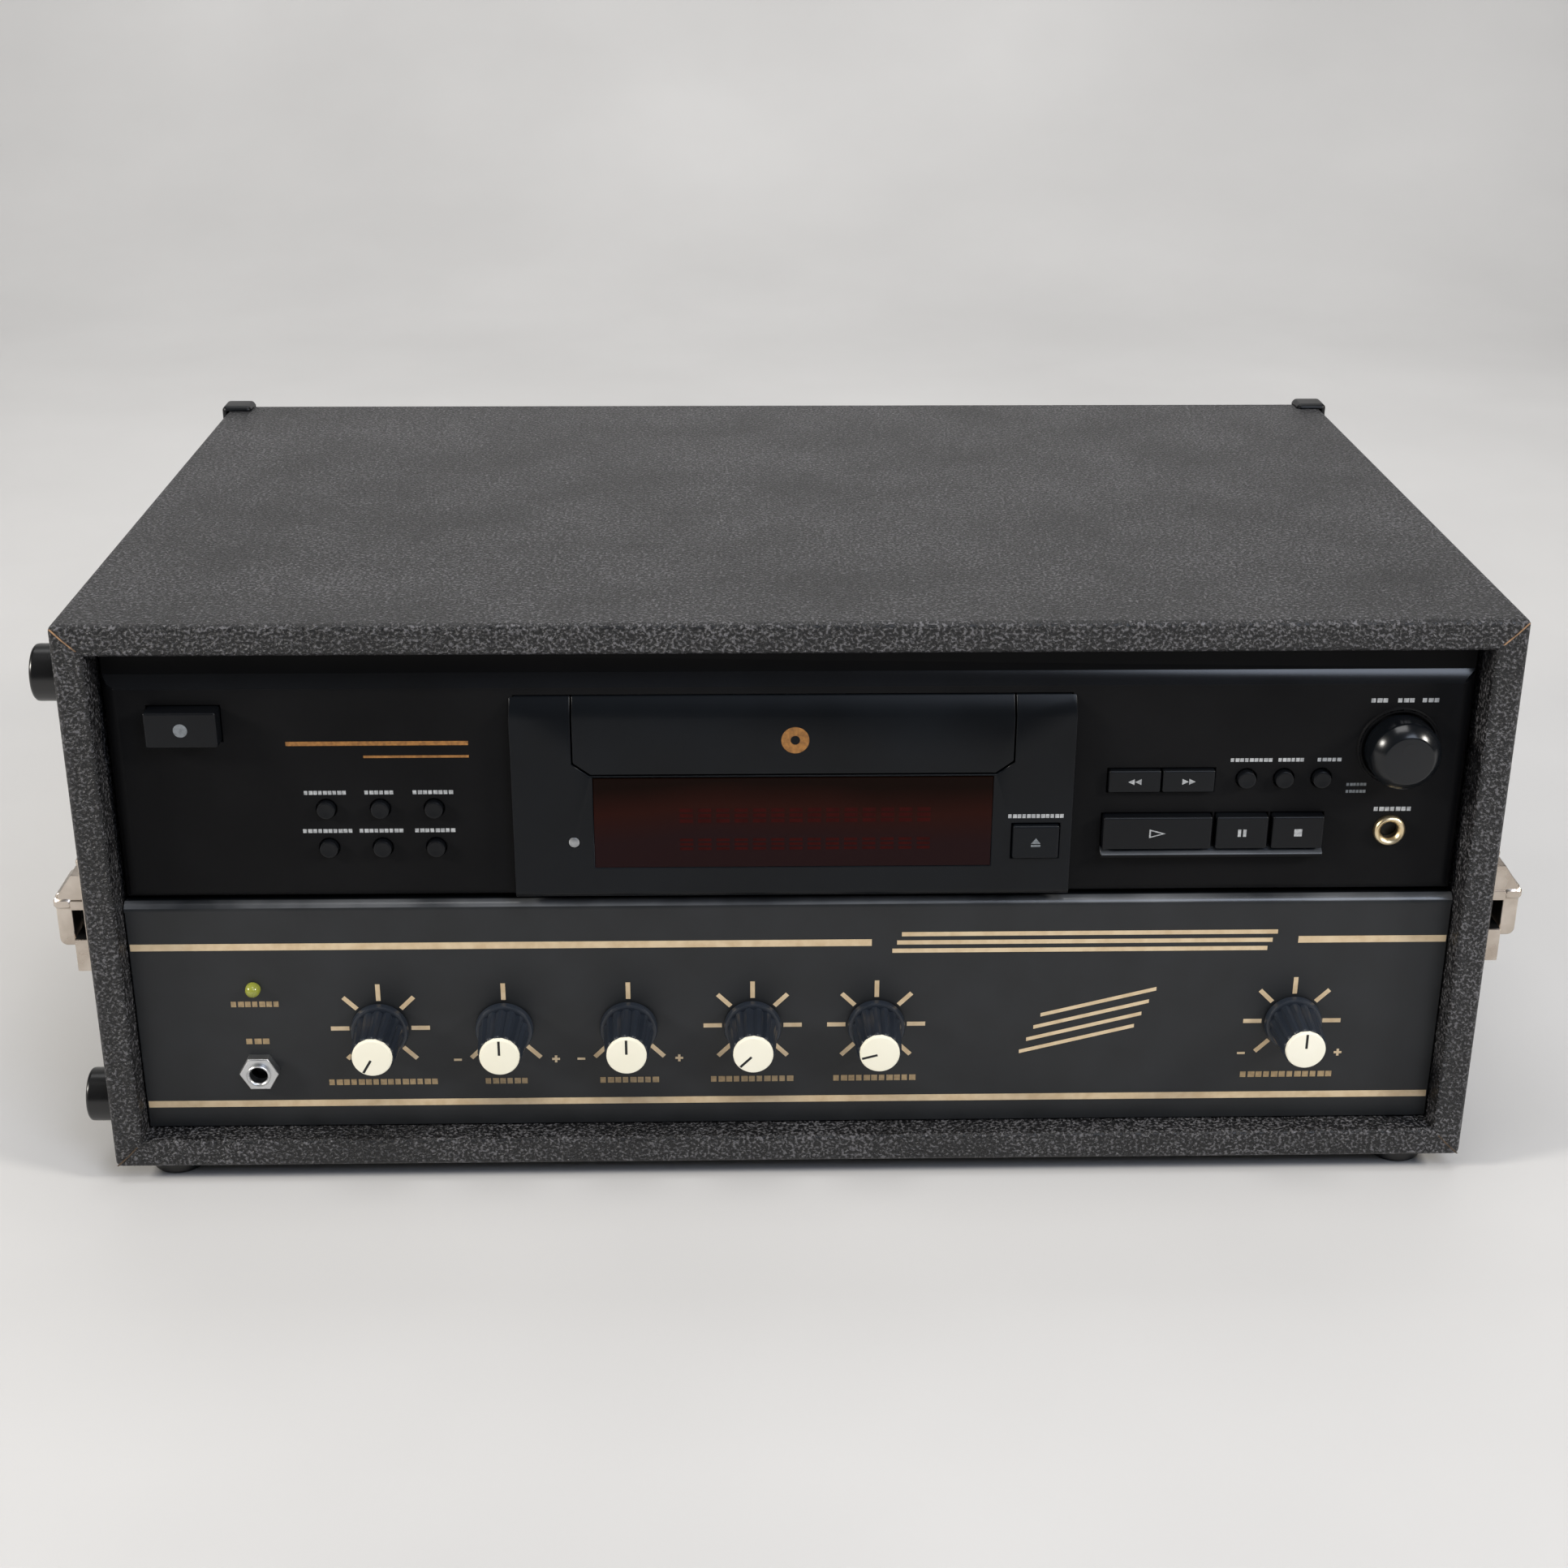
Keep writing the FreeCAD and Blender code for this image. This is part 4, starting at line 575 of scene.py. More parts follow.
def addLatches():
    inner, reach, front, back, cheek = [latch[key] for key in ("inner", "reach", "front", "back", "cheek")]
    low, sill, slotTop, shoulder = [latch[key] for key in ("low", "sill", "slotTop", "shoulder")]
    lap, deep, dark = slotShadeLining["lap"], back - slotShadeLining["short"], slotShadeLining["out"]
    bm = bmesh.new()
    for side in (-1, 1):
        wall = side * caseSize["half"]

        def addPart(out, depth, level, edge=0.3, index=0, steps=2):
            x = sorted(wall + side * u for u in out)
            addBlock(bm, (x[0], depth[0], level[0]), (x[1], depth[1], level[1]), edge, steps, index)

        addPart((0, latch["plate"]), (front, back), (low, latch["high"]))
        addPart((0, inner), (front, back), (low, sill), 0.4)
        # painted shade: the slot's rear cheek, walls and sill are lined black
        addPart((0, inner), (back - cheek, back), (sill - slotShadeLining["endLap"], slotTop + slotShadeLining["endLap"]), index=1)
        addPart(dark, (front + lap, deep), (sill - lap, slotTop + lap), 0, 1)
        addPart((dark[0], inner - lap), (front + slotShadeLining["sillFront"], deep),
                (sill - lap, sill + slotShadeLining["sillRise"]), 0, 1)
        for y in (front, back - cheek):
            addPart((0, inner), (y, y + cheek), (slotTop, shoulder - 1))
            addPart((inner - 0.8, reach), (y, y + cheek), (slotTop, shoulder), latch["roll"], steps=1)
        before = set(bm.faces)
        hood = [(wall + side * u, z) for u, z in latchHood]
        addPrint(bm, hood, back - latch["hoodInset"], 0, back - front - latch["hoodInset"] * 2)
        rims = list({e for f in bm.faces if f not in before for e in f.edges if e.calc_face_angle() > 0.4})
        roundEdges(bm, rims, latch["hoodEdge"], 2)
        r = latch["rivet"]
        dome = [(0, 0.2), (r, 0.2), (r, 1.3), (r * 0.85, 2.1), (r * 0.45, 2.6), (0, 2.75)]
        for z in latch["rivetLevels"]:
            for y in (front + latch["rivetInset"], back - latch["rivetInset"]):
                addTurned(bm, dome, (wall, y, z), (side, 0, 0), 20)
    addPiece("latchBodies", bm, [nickel, blackInkAndShade], "case", ["latch_bodies"])
    for side in ("left", "right"):
        node = "latch_lever_" + side
        addPiece("latchLever." + side, softenedCopy(node, 0.5), [nickel], node, [node])


addLatches()
print("strap and latches done")

# Deck front: fascia, the bezel round the display and the tray's door with a plain ring on it
deck = {"bevelSlope": 30.8, "bevelFoot": 150.0, "bezelFront": 5.0, "ring": (0.5, 150.8), "ringRadius": (1.5, 4.4),
        "ledgeX": (97.0, 172.0), "ledgeZ": (109.0, 112.2), "ledgeTilt": 0.3}


def addDeckFront():
    bm = softenedCopy("deck_fascia", 0.3, 2, 1.0)
    slope = math.radians(deck["bevelSlope"])
    bevel = Vector((0, -math.cos(slope), math.sin(slope)))
    (ledgeLeft, ledgeRight), (ledgeLow, ledgeHigh) = deck["ledgeX"], deck["ledgeZ"]
    for face in bm.faces:
        place = face.calc_center_median()
        if face.normal.dot(bevel) > 0.99 and place.z > deck["bevelFoot"]:
            face.material_index = 1   # the bevel along the top is polished, the flats are textured
        onLedge = ledgeLeft < place.x < ledgeRight and ledgeLow < place.z < ledgeHigh
        if onLedge and face.normal.z > deck["ledgeTilt"]:
            face.material_index = 2   # painted highlight: the upward faces of the ledge under the keys are pale
    addPiece("deckFascia", bm, [fasciaPlastic, glossPlastic, paintedLedgeHighlight], "case", ["deck_fascia"])
    bm = softenedCopy("tray_bezel", 0.4, 2, 1.0)
    addPiece("trayBezel", bm, [bezelPlastic], "case", ["tray_bezel"])
    bm = softenedCopy("tray_front", 0.4, 2, 1.0)
    small, large = deck["ringRadius"]
    addTurned(bm, [(large, -0.1), (large, 0.06), (small, 0.06), (small, -0.1), (large, -0.1)],
              (deck["ring"][0], deck["bezelFront"], deck["ring"][1]), toFront, 40, 1)
    addPiece("trayDoor", bm, [bezelPlastic, bronzeInk], "tray", ["tray_front"])


addDeckFront()

# Display window: a smoked plate, with the cells of the dark display faint behind it, and the receiver's lens
display = {"edge": 0.4, "cells": 14, "first": -36.0, "pitch": 5.8, "cellWidth": 4.2, "gap": 0.3, "sunk": 0.06,
           "rows": ((122.5, 128.0), (113.0, 117.6)), "lens": 2.0}


def addDisplay():
    low, high = caseBox("display_window")
    bm = bmesh.new()
    addBlock(bm, low, high, display["edge"], 2, 0, lambda e: all(v.co.y < low.y + 0.1 for v in e.verts))
    for bottom, top in display["rows"]:
        step = (top - bottom) / 3
        for i in range(display["cells"] * 3):
            x = display["first"] + (i // 3) * display["pitch"]
            z = bottom + (i % 3) * step
            addBar(bm, (x, x + display["cellWidth"]), (z + display["gap"], z + step - display["gap"]),
                   low.y + display["sunk"], 1)
    addPiece("displayWindow", bm, [acrylic, unlitCells], "case", ["display_window"])
    low, high = caseBox("remote_lens")
    length, middle, r = high.y - low.y, (low + high) / 2, display["lens"]
    bm = bmesh.new()
    lens = [(0, length), (r * 0.5, length - 0.1), (r * 0.85, length - 0.4), (r, length - 1.0), (r, 0), (0, 0)]
    addTurned(bm, lens, (middle.x, high.y, middle.z), toFront, 24)
    addPiece("sensorLens", bm, [zincSheet], "case", ["remote_lens"])


addDisplay()

# Keys of the deck: (middle x, middle z, width, height, face y), and the mark printed on each
keys = {
    "power_button": (-189.8, 155.8, 22.4, 11.6, 3.0, "dot"),
    "skip_back_button": (108.45, 134.9, 16.7, 7.6, 7.4, "back"),
    "skip_next_button": (125.65, 134.9, 16.7, 7.6, 7.4, "next"),
    "play_button": (116.5, 117.6, 35.0, 11.2, 5.8, "play"),
    "pause_button": (143.7, 117.6, 16.6, 11.2, 5.8, "pause"),
    "stop_button": (161.7, 117.6, 16.6, 11.2, 5.8, "stop"),
    "eject_button": (77.3, 115.8, 14.8, 11.4, 3.5, "eject"),
}
keyShape = {"edge": 0.7, "flange": 1.5, "dot": 2.2}
roundKeys = {"radius": 2.9, "face": 7.0, "flange": (1.2, 1.5),
             "mode": (-147.8, 17.0, (126.7, 113.2)), "edit": (144.2, 12.0, (135.3,))}
# Outlines of the marks about the middle of their key. Play is printed hollow
keyMarks = {
    "play": (((-2.6, -1.5), (2.6, 0), (-2.6, 1.5)),),
    "pause": (barOutline((-1.35, -0.35), (-1.25, 1.25)), barOutline((0.35, 1.35), (-1.25, 1.25))),
    "stop": (barOutline((-1.25, 1.25), (-1.25, 1.25)),),
    "eject": (((-1.5, -0.4), (1.5, -0.4), (0, 1.5)), barOutline((-1.5, 1.5), (-1.5, -0.8))),
    "back": (((-0.1, -1.0), (-2.1, 0), (-0.1, 1.0)), ((2.1, -1.0), (0.1, 0), (2.1, 1.0))),
    "next": (((-2.1, -1.0), (-0.1, 0), (-2.1, 1.0)), ((0.1, -1.0), (2.1, 0), (0.1, 1.0))),
}
playHollow = {"outline": ((-2.1, -0.95), (1.3, 0), (-2.1, 0.95)), "proud": 0.05}


def markKey(bm, kind, x, z, y):
    if kind == "dot":
        r = keyShape["dot"]
        addTurned(bm, [(0, -0.1), (r, -0.1), (r, 0.02), (r - 0.1, 0.06), (0, 0.06)], (x, y, z), toFront, 24, 1)
        return
    for outline in keyMarks[kind]:
        addPrint(bm, [(x + u, z + v) for u, v in outline], y, 1)
    if kind == "play":
        addPrint(bm, [(x + u, z + v) for u, v in playHollow["outline"]], y - playHollow["proud"], 0)


def addKeys():
    for node, (x, z, width, height, face, mark) in keys.items():
        low, high = caseBox(node)
        bm = bmesh.new()
        plastic, slotName = (bezelPlastic, "bezel_plastic") if mark == "eject" else (keyPlastic, "black_plastic")
        addBlock(bm, (x - width / 2, face, z - height / 2), (x + width / 2, high.y - 0.2, z + height / 2),
                 keyShape["edge"], 3, 0, lambda e: any(v.co.y < face + 0.1 for v in e.verts))
        addBlock(bm, (low.x, high.y - keyShape["flange"], low.z), high, 0.2, 1)   # the flange behind the fascia
        markKey(bm, mark, x, z, face)
        ink = dimInk if mark in ("dot", "eject") else paleInk
        addPiece(node + ".cap", bm, [plastic, ink], node, [node])
    r, face = roundKeys["radius"], roundKeys["face"]
    wide, thick = r + roundKeys["flange"][0], roundKeys["flange"][1]
    for group in ("mode", "edit"):
        first, pitch, rows = roundKeys[group]
        for i in range(len(rows) * 3):
            node = group + "_button_" + str(i + 1)
            length = caseBox(node)[1].y - face
            bm = bmesh.new()
            profile = [(0, length - 0.2), (r * 0.45, length - 0.14), (r * 0.75, length), (r - 0.35, length),
                       (r - 0.08, length - 0.18), (r, length - 0.5), (r, thick), (wide, thick), (wide, 0), (0, 0)]
            addTurned(bm, profile, (first + (i % 3) * pitch, face + length, rows[i // 3]), toFront, 28)
            addPiece(node + ".cap", bm, [keyPlastic], node, [node])


addKeys()
print("deck front and keys done")

# Jog dial: a straight foot, a shoulder between a plain slope and a full round, a shallow finger mark near the top of
# its face, and a low collar moulded round it
jog = {"face": 7.5, "shoulder": 4.0, "swell": 0.3, "steps": 8, "dimple": 2.6, "dimpleRise": 3.2, "bore": 3.2,
       "boreDepth": 5.0, "collar": 1.9, "collarRise": 1.2, "collarWide": 1.0}


def addJog():
    low, high = caseBox("jog_dial")
    middle, r, length = (low + high) / 2, (high.x - low.x) / 2, high.y - low.y
    bm = bmesh.new()
    profile = [(0, length)]
    for i in range(jog["steps"] + 1):
        share = i / jog["steps"]
        angle = share * math.pi / 2
        out = share + (math.sin(angle) - share) * jog["swell"]
        down = share + (1 - math.cos(angle) - share) * jog["swell"]
        profile.append((jog["face"] + (r - jog["face"]) * out, length - jog["shoulder"] * down))
    profile += [(r, 0.4), (r - 0.4, 0), (jog["bore"], 0), (jog["bore"], jog["boreDepth"]), (0, jog["boreDepth"])]
    addTurned(bm, profile, (middle.x, high.y, middle.z), toFront, 72)
    d = jog["dimple"]
    dimple = [(0, -0.03), (d, -0.03), (d, 0.03), (d - 0.15, 0.03), (d - 0.45, 0.022), (d * 0.5, 0.006), (0, 0.002)]
    addTurned(bm, dimple, (middle.x, low.y - 0.005, middle.z + jog["dimpleRise"]), toFront, 32)
    addPiece("jogDial", bm, [dialPlastic], "jog_dial", ["jog_dial"])
    bm = bmesh.new()
    outer, rise = r + jog["collar"], jog["collarRise"]
    inner = outer - jog["collarWide"]
    collar = [(inner, -0.2), (inner, rise * 0.6), (outer - 0.7, rise), (outer - 0.3, rise), (outer, rise * 0.5),
              (outer, -0.2), (inner, -0.2)]
    addTurned(bm, collar, (middle.x, caseSize["front"], middle.z), toFront, 72)
    addPiece("jogCollar", bm, [dialPlastic], "case")


addJog()

# Sockets: the gilt ring of the headphones, the nut and bush of the microphone, and the lamp over it
jack = {"bore": 3.2, "depth": 14.0, "wall": 12.0, "bodyEdge": 0.5, "ringRadius": 5.1, "ringRise": 1.8, "sleeve": 4.5,
        "nutFlats": 11.4, "nutRise": 3.4, "nutEdge": 0.5, "bush": 3.9, "bushProud": 0.3, "lamp": 2.5}


# The dark tube behind a socket's mouth, closed at its far end: painted shade inside the bore
def addTube(bm, place, top):
    end, thin, wide = -jack["depth"], jack["bore"] - 0.1, jack["bore"] + 0.1
    addTurned(bm, [(0, end), (thin, end), (thin, top), (wide, top), (wide, end - 0.5), (0, end - 0.5)],
              place, toFront, 32, 1)


def addHeadphoneSocket():
    low, high = caseBox("headphone_socket")
    middle = (low + high) / 2
    r, b, rise = jack["ringRadius"], jack["bore"], jack["ringRise"]
    end, place = rise - jack["sleeve"], (middle.x, low.y + rise, middle.z)
    bm = bmesh.new()
    ring = [(b, end), (b, rise - 2.0), (b - 0.4, rise - 1.7), (b - 0.3, rise - 1.2), (b + 0.2, rise - 0.5),
            (b + 0.7, rise - 0.1), (b + 1.1, rise), (r - 0.5, rise - 0.15), (r - 0.15, rise - 0.5), (r, rise - 1.1),
            (r, end), (b, end)]
    addTurned(bm, ring, place, toFront, 48)
    addTube(bm, place, end + 0.1)
    addBlock(bm, (low.x, jack["wall"], low.z), high, jack["bodyEdge"], 2, 1)
    addPiece("headphoneSocket", bm, [goldPlate, blackInkAndShade], "case", ["headphone_socket"])


def addMicSocket():
    low, high = caseBox("mic_socket")
    middle, face = (low + high) / 2, caseSize["front"]
    b, bush, place = jack["bore"], jack["bush"], (middle.x, face, middle.z)
    bm = bmesh.new()
    turn = Matrix.Translation(place) @ Matrix.Rotation(math.pi / 2, 4, "X")
    nut = bmesh.ops.create_circle(bm, segments=6, radius=jack["nutFlats"] / math.sqrt(3),
                                  matrix=turn @ Matrix.Rotation(math.pi / 2, 4, "Z"))["verts"]
    bmesh.ops.subdivide_edges(bm, edges=list({e for v in nut for e in v.link_edges}), cuts=5)
    bmesh.ops.create_circle(bm, segments=36, radius=bush - 0.2, matrix=turn)
    bmesh.ops.bridge_loops(bm, edges=bm.edges[:])
    thicken(bm, bm.faces[:], (0, -jack["nutRise"], 0))
    faceOut(bm)
    rims = [e for e in bm.edges if all(v.co.y < face - 1 for v in e.verts) and e.calc_face_angle() > angles["square"]
            and (e.verts[0].co - Vector((middle.x, e.verts[0].co.y, middle.z))).length > bush + 0.5]
    roundEdges(bm, rims, jack["nutEdge"], 3)
    rise = max(face - low.y, jack["nutRise"] + jack["bushProud"])
    collar = [(b, 0.1), (b, rise - 1.2), (b - 0.3, rise - 0.8), (b, rise - 0.2), (b + 0.3, rise), (bush - 0.2, rise),
              (bush, rise - 0.2), (bush, 0.1), (b, 0.1)]
    addTurned(bm, collar, place, toFront, 40)
    addTube(bm, place, 0.3)
    half = (high.z - low.z) / 2
    addBlock(bm, (middle.x - half, jack["wall"], low.z), (middle.x + half, high.y, high.z), jack["bodyEdge"], 2, 1)
    addPiece("microphoneSocket", bm, [chrome, blackInkAndShade], "case", ["mic_socket"])


def addPowerLamp():
    low, high = caseBox("power_lamp")
    middle, length, r = (low + high) / 2, high.y - low.y, jack["lamp"]
    bm = bmesh.new()
    dome = [(0, length), (0.9, length - 0.1), (1.8, length - 0.6), (r - 0.2, length - 1.5), (r, length - 2.6), (r, 0),
            (0, 0)]
    addTurned(bm, dome, (middle.x, high.y, middle.z), toFront, 28)
    addPiece("powerLamp", bm, [lampResin], "case", ["power_lamp"])


addHeadphoneSocket()
addMicSocket()
addPowerLamp()

# Amplifier panel and its print: two stripes, pinstripes, slanted lines, and the knobs' ticks
panel = {"y": 9.0, "half": 215.0, "upper": (76.6, 79.0), "lower": (18.0, 20.4), "upperEnds": (26.0, 166.2),
         "caption": 27.1, "captionHeight": 2.1, "crest": 2.5, "crestUp": 0.45, "crestFront": 0.2}
pinstripes = {"rows": 3, "ends": (32.8, 156.2), "foot": 74.0, "pitch": 3.0, "height": 1.5, "shift": 1.5}
slants = {"rows": 4, "ends": (76.0, 114.0), "foot": 36.0, "pitch": 4.6, "height": 1.3, "shift": 2.2, "angle": 14.0}
# Bars of the minus and the plus sign beside a knob: offset from the knob's middle, and level
knobSigns = (((-17.4, -14.8), (34.9, 35.7)), ((15.2, 17.8), (34.9, 35.7)),
             ((16.1, 16.9), (34.0, 34.9)), ((16.1, 16.9), (35.7, 36.6)))
# Rows of dashes under the lamp and over the socket: (x, z, width, height)
lampCaptions = ((-176.2, 56.8, 16.2, 2.0), (-176.4, 42.9, 8.2, 2.0))
knobs = {"level": 47.5, "skirt": 9.5, "skirtRise": 2.8, "base": 8.3, "tip": 7.2, "length": 18.4, "gap": 0.6,
         "cap": 6.5, "capRise": 1.35, "flutes": 14, "ticks": (10.2, 16.3), "tickHalf": 0.75, "pointer": 0.4,
         "grooves": (0.945, 0.905, 0.945), "fluteSteps": 6}
knobPlaces = {
    "mic_knob": {"x": -136, "pointer": -150, "tickStep": 45, "caption": 36.6, "signs": False},
    "bass_knob": {"x": -95, "pointer": 0, "tickStep": 135, "caption": 14.5, "signs": True},
    "treble_knob": {"x": -54, "pointer": 0, "tickStep": 135, "caption": 20.0, "signs": True},
    "second_knob": {"x": -13, "pointer": -135, "tickStep": 45, "caption": 28.0, "signs": False},
    "main_knob": {"x": 28, "pointer": -105, "tickStep": 45, "caption": 28.0, "signs": False},
    "speed_knob": {"x": 166.8, "pointer": 0, "tickStep": 45, "caption": 31.5, "signs": True},
}


def addPanelPrint():
    bm = bmesh.new()
    y, half = panel["y"], panel["half"]
    addBar(bm, (-half, panel["upperEnds"][0]), panel["upper"], y)
    addBar(bm, (panel["upperEnds"][1], half), panel["upper"], y)
    addBar(bm, (-half, half), panel["lower"], y)
    for row in range(pinstripes["rows"]):
        left, right = [end + row * pinstripes["shift"] for end in pinstripes["ends"]]
        z = pinstripes["foot"] + row * pinstripes["pitch"]
        addBar(bm, (left, right), (z, z + pinstripes["height"]), y)
    for row in range(slants["rows"]):
        left, right = [end + row * slants["shift"] for end in slants["ends"]]
        z, h = slants["foot"] + row * slants["pitch"], slants["height"]
        top = z + (right - left) * math.tan(math.radians(slants["angle"]))
        addPrint(bm, [(left, z), (right, top), (right, top + h), (left, z + h)], y)
    near, far = knobs["ticks"]
    for place in knobPlaces.values():
        x = place["x"]
        for angle in range(-135, 136, place["tickStep"]):
            turn = Matrix.Translation((x, y, knobs["level"])) @ Matrix.Rotation(math.radians(angle), 4, "Y")
            addBlock(bm, (-knobs["tickHalf"], -inkThick, near), (knobs["tickHalf"], 0.0, far), turn=turn)
        addDashes(bm, x, panel["caption"], place["caption"], panel["captionHeight"], y, 1)
        if place["signs"]:
            for (left, right), level in knobSigns:
                addBar(bm, (x + left, x + right), level, y)
    for x, z, width, height in lampCaptions:
        addDashes(bm, x, z, width, height, y, 1)
    addPiece("panelPrint", bm, [goldInk, fineGoldInk], "case")


def addPanel():
    bm = softenedCopy("amp_panel", 0.4, 2, 1.0)
    crest = max(v.co.z for v in bm.verts) - panel["crest"]
    for face in bm.faces:   # painted highlight: the upward faces of the rolled edge are pale
        rolled = face.normal.z > panel["crestUp"] and face.normal.y < -panel["crestFront"]
        if rolled and face.calc_center_median().z > crest:
            face.material_index = 1
    addPiece("amplifierPanel", bm, [panelPaint, paintedEdgeHighlight], "case", ["amp_panel"])


def addKnob(name, x, pointer):
    bm = bmesh.new()
    low, skirtTop = knobs["gap"], knobs["gap"] + knobs["skirtRise"]
    r = knobs["skirt"]
    profile = [(0, low), (r - 0.3, low), (r, low + 0.3), (r, skirtTop - 1.0), (r - 0.35, skirtTop - 0.25),
               (r - 0.9, skirtTop), (0, skirtTop)]
    addTurned(bm, profile, (0, 0, 0), (0, 0, 1), 56)
    before = set(bm.faces)
    steps, grooves = knobs["fluteSteps"], knobs["grooves"]
    grip = bmesh.ops.create_circle(bm, segments=knobs["flutes"] * steps, radius=knobs["base"])["verts"]
    bmesh.ops.translate(bm, vec=(0, 0, skirtTop - 0.2), verts=grip)
    for i, v in enumerate(grip):
        if i % steps < len(grooves):   # a narrow groove between wide ribs
            depth = grooves[i % steps]
            v.co.x, v.co.y = v.co.x * depth, v.co.y * depth
    ring = [e for e in bm.edges if e.is_wire]
    bmesh.ops.contextual_create(bm, geom=ring)
    top = knobs["gap"] + knobs["length"]
    for share, rise in ((knobs["tip"] / knobs["base"], top - 0.9), (0.985, top - 0.35), (0.96, top)):
        verts, ring = growEdges(bm, ring)
        bmesh.ops.scale(bm, vec=(share, share, 1), verts=verts)
        bmesh.ops.translate(bm, vec=(0, 0, rise - verts[0].co.z), verts=verts)
    bmesh.ops.contextual_create(bm, geom=ring)
    faceOut(bm, before)
    c, rise = knobs["cap"], top + knobs["capRise"]
    cap = [(0, top - 0.2), (c, top - 0.2), (c, rise - 0.55), (c - 0.2, rise - 0.15), (c - 0.6, rise), (0, rise)]
    addTurned(bm, cap, (0, 0, 0), (0, 0, 1), 56, 1)
    w = knobs["pointer"]
    addBlock(bm, (-w, c * 0.12, rise - 0.3), (w, c - 0.55, rise + 0.03), index=2)
    turn = Matrix.Translation((x, panel["y"], knobs["level"])) @ Matrix.Rotation(math.pi / 2, 4, "X")
    bmesh.ops.transform(bm, matrix=turn @ Matrix.Rotation(math.radians(-pointer), 4, "Z"), verts=bm.verts)
    addPiece(name + ".dressed", bm, [knobPlastic, ivoryPlastic, blackInkAndShade], name, [name])


addPanelPrint()
addPanel()
for knobName, knobPlace in knobPlaces.items():
    addKnob(knobName, knobPlace["x"], knobPlace["pointer"])
print("amplifier panel and knobs done")

# Small print on the deck: rows of dashes beside the controls (x, z, width, height), and two pinstripes
deckPrint = {
    "pale": ((-147.8, 132.2, 13.5, 1.3), (-130.8, 132.2, 9.4, 1.3), (-113.8, 132.2, 13.0, 1.3),
             (-147.8, 119.0, 16.0, 1.3), (-130.8, 119.0, 14.2, 1.3), (-113.8, 119.0, 13.0, 1.3),
             (145.6, 141.6, 13.6, 1.2), (158.2, 141.6, 8.4, 1.2), (170.4, 141.6, 7.8, 1.2),
             (184.4, 161.6, 5.6, 1.4), (192.8, 161.6, 5.6, 1.4), (200.6, 161.6, 5.6, 1.4), (192.4, 124.4, 12.4, 1.4)),
    "dim": ((179.8, 133.0, 6.6, 1.0), (179.8, 130.6, 6.6, 1.0)),
    "bezel": (77.3, 124.4, 18.0, 1.3),
    "bronze": ((-159.0, -102.0, 148.2, 149.6), (-135.0, -102.0, 144.0, 144.8)),
}


def addDeckPrint():
    bm = bmesh.new()
    for index, tone in enumerate(("pale", "dim")):
        for x, z, width, height in deckPrint[tone]:
            addDashes(bm, x, z, width, height, caseSize["front"], index)
    x, z, width, height = deckPrint["bezel"]
    addDashes(bm, x, z, width, height, deck["bezelFront"], 0)
    for left, right, bottom, top in deckPrint["bronze"]:
        addBar(bm, (left, right), (bottom, top), caseSize["front"], 2)
    addPiece("deckPrint", bm, [paleInk, dimInk, bronzeInk], "case")


addDeckPrint()

# Back: the painted panel with its screws, the sockets and the mains switch
back = {"screwX": (-205, -70, 70, 205), "screwZ": (17, 174), "face": 274.0, "screw": 3.4}


def addBack():
    bm = softenedCopy("back_panel", 0.6, 2, 1.0)
    for x in back["screwX"]:
        for z in back["screwZ"]:
            addScrew(bm, (x, back["face"], z), (0, 1, 0), back["screw"], 1, 2)
    addPiece("backPanel", bm, [paintedPly, screwSteel, blackInkAndShade], "case", ["back_panel"])
    bm = softenedCopy("rear_sockets", 0.25)
    addPiece("rearSockets", bm, [keyPlastic], "case", ["rear_sockets"])
    bm = softenedCopy("mains_switch", 0.35)
    addPiece("mainsRocker", bm, [keyPlastic], "mains_switch", ["mains_switch"])


addBack()

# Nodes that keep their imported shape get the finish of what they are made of
keptFinishes = {
    "case_cleats": rawPly, "jog_shaft": zincSheet, "deck_chassis": zincSheet, "deck_cover": zincSheet,
    "deck_boards": laminate, "disc_tray": trayPlastic, "tray_gear": nylon, "mechanism_frame": trayPlastic,
    "turntable": aluminium, "pickup_sled": aluminium, "amp_chassis": zincSheet, "amp_board": aluminium,
    "mains_transformer": ironCore,
}
for nodeName, finish in keptFinishes.items():
    slots = nodes[nodeName].data.materials
    for slotIndex in range(len(slots)):
        slots[slotIndex] = finish
print("back and inner nodes done")

# Pale paper sweep, in metres
stage = {"dark": "#c1c0bf", "pale": "#cac9c8", "halfWidth": 4.0, "front": -3.0, "bend": 1.2, "rise": 3.0, "round": 0.9,
         "steps": 12}


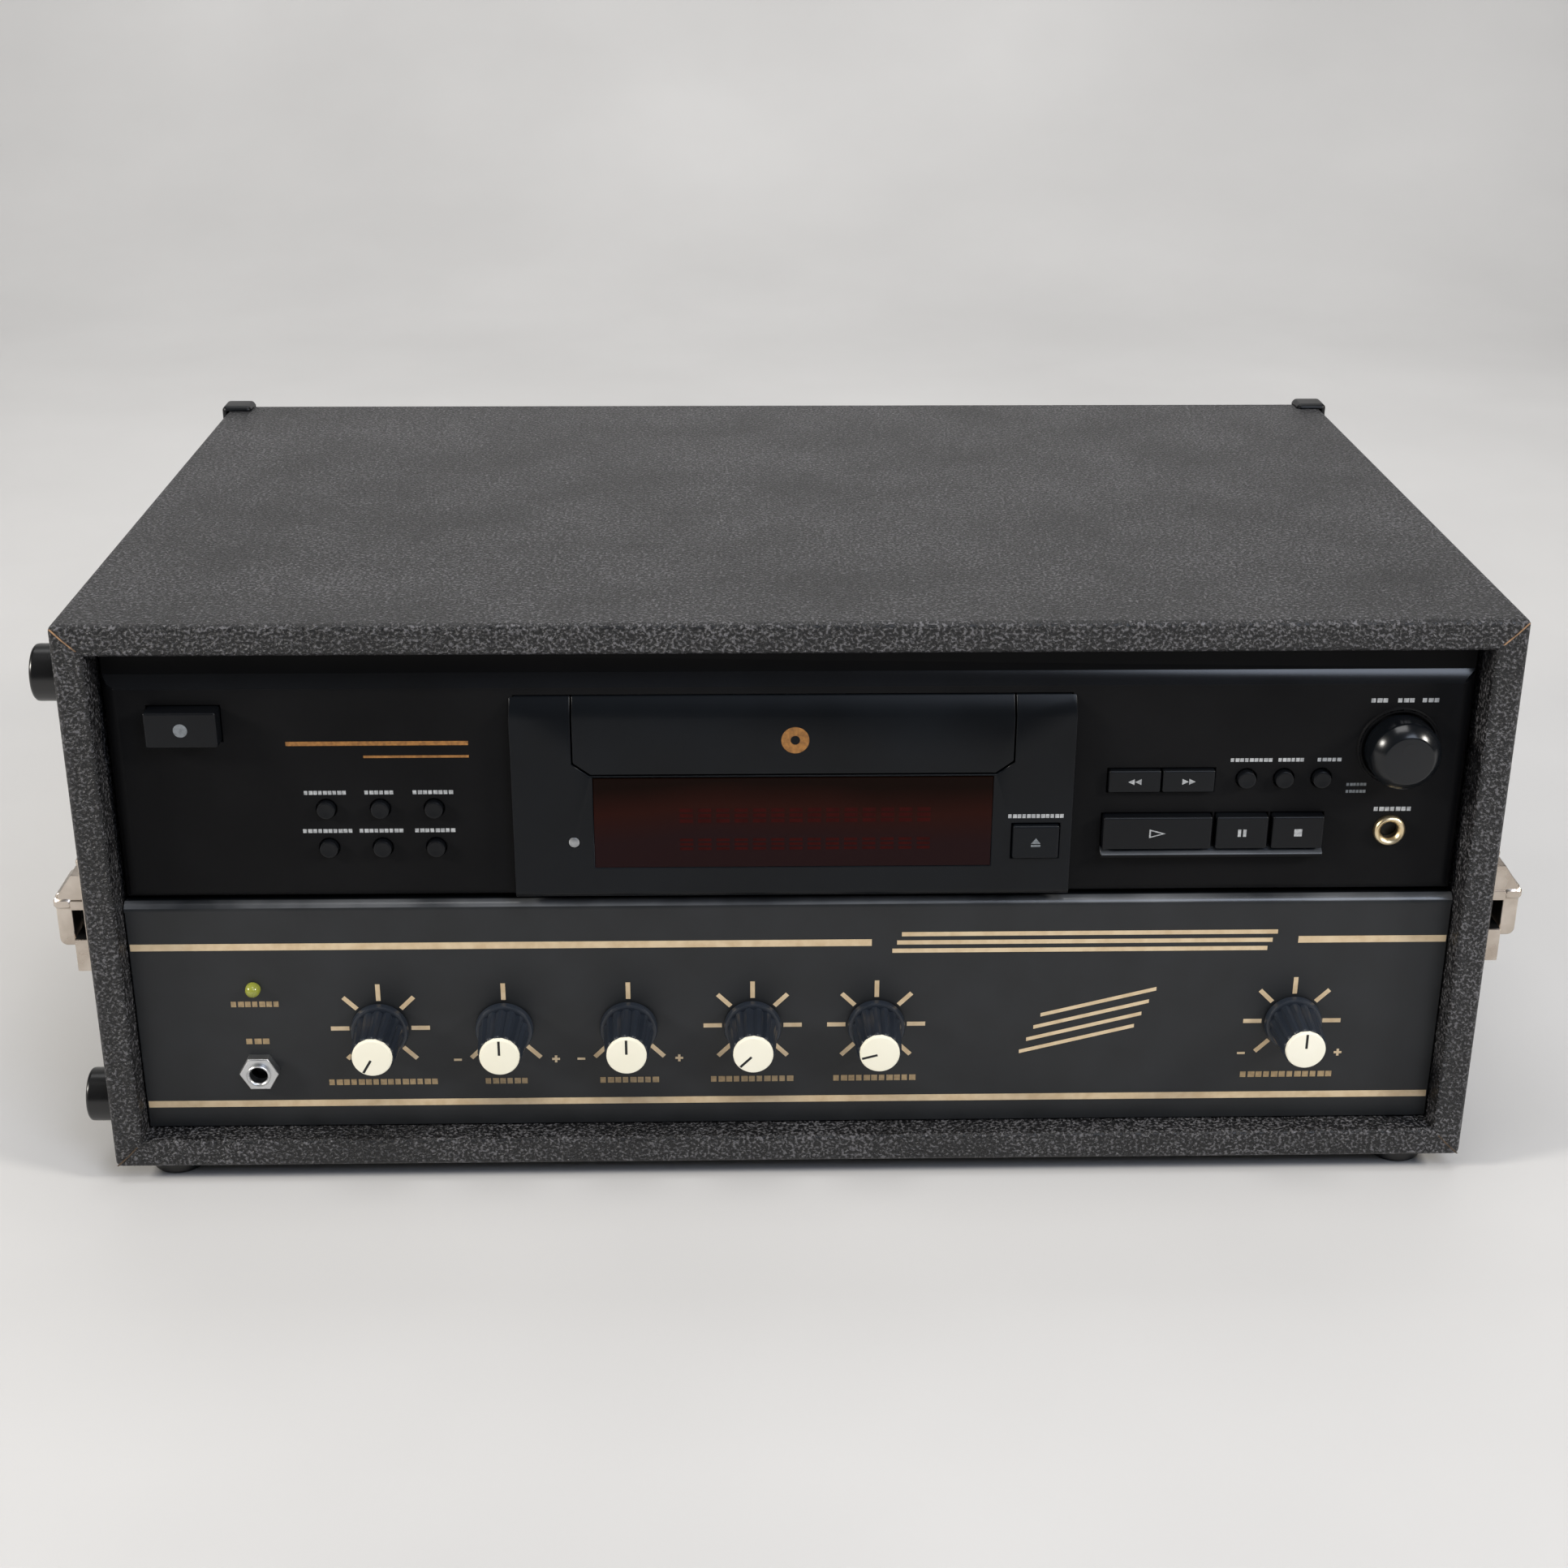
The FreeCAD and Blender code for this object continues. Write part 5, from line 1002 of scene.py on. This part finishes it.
def addStage():
    material, tree, sockets, where = startMaterial("sweepPaper", Roughness=0.8, Specular_IOR_Level=0.2)
    cloud = addNode(tree, "ShaderNodeTexNoise", {"Vector": where, "Scale": 3.0, "Detail": 4.0})
    addTone(tree, sockets, cloud, (0.3, stage["dark"]), (0.7, stage["pale"]))
    bm = bmesh.new()
    edge = bm.edges.new([bm.verts.new((side * stage["halfWidth"], stage["front"], 0)) for side in (-1, 1)])
    bend, bow, steps = stage["bend"], stage["round"], stage["steps"]
    run = [(bend, 0.0)]
    for i in range(1, steps + 1):
        angle = math.pi / 2 / steps * i
        run.append((bend + bow * math.sin(angle), bow * (1 - math.cos(angle))))
    run.append((bend + bow, stage["rise"]))
    for y, z in run:
        verts, (edge,) = growEdges(bm, [edge])
        bmesh.ops.translate(bm, vec=(0, y - verts[0].co.y, z - verts[0].co.z), verts=verts)
    faceOut(bm)
    mesh = bpy.data.meshes.new("sweep")
    bm.to_mesh(mesh)
    bm.free()
    mesh.materials.append(material)
    mesh.shade_smooth()
    sweep = bpy.data.objects.new("sweep", mesh)
    bpy.context.scene.collection.objects.link(sweep)


# Soft studio light: place, aim, size in metres, power and colour of each soft box
lamps = {
    "left": ((-1.6, -0.64, 0.9), (0.0, -0.1, 0.1), 0.34, 25.0, "#fffaf2"),
    "right": ((1.5, -0.74, 0.98), (0.0, -0.1, 0.1), 0.34, 21.0, "#fffaf2"),
    "window": ((0.75, -1.45, 1.45), (0.0, -0.1, 0.1), 0.8, 13.5, "#d4dff3"),
    "overhead": ((0.0, -0.3, 1.9), (0.0, 0.0, 0.1), 0.9, 12.5, "#ffffff"),
    "backdrop": ((0.0, 0.9, 1.9), (0.0, 1.9, 0.6), 1.6, 21.5, "#ffffff"),
}
world = {"colour": "#dfe0e2", "strength": 0.12}


def addLight():
    for name, (place, aim, size, power, colour) in lamps.items():
        data = bpy.data.lights.new(name, "AREA")
        data.shape = "SQUARE"
        data.size = size
        data.energy = power
        data.color = hexColour(colour)[:3]
        lamp = bpy.data.objects.new(name, data)
        lamp.location = place
        lamp.rotation_euler = (Vector(aim) - Vector(place)).to_track_quat("-Z", "Y").to_euler()
        bpy.context.scene.collection.objects.link(lamp)
    studio = bpy.data.worlds.new("studio")
    studio.use_nodes = True
    background = studio.node_tree.nodes["Background"].inputs
    background["Color"].default_value = hexColour(world["colour"])
    background["Strength"].default_value = world["strength"]
    bpy.context.scene.world = studio


addStage()
addLight()
bpy.context.scene.view_settings.view_transform = "Standard"
print("stage and light done")
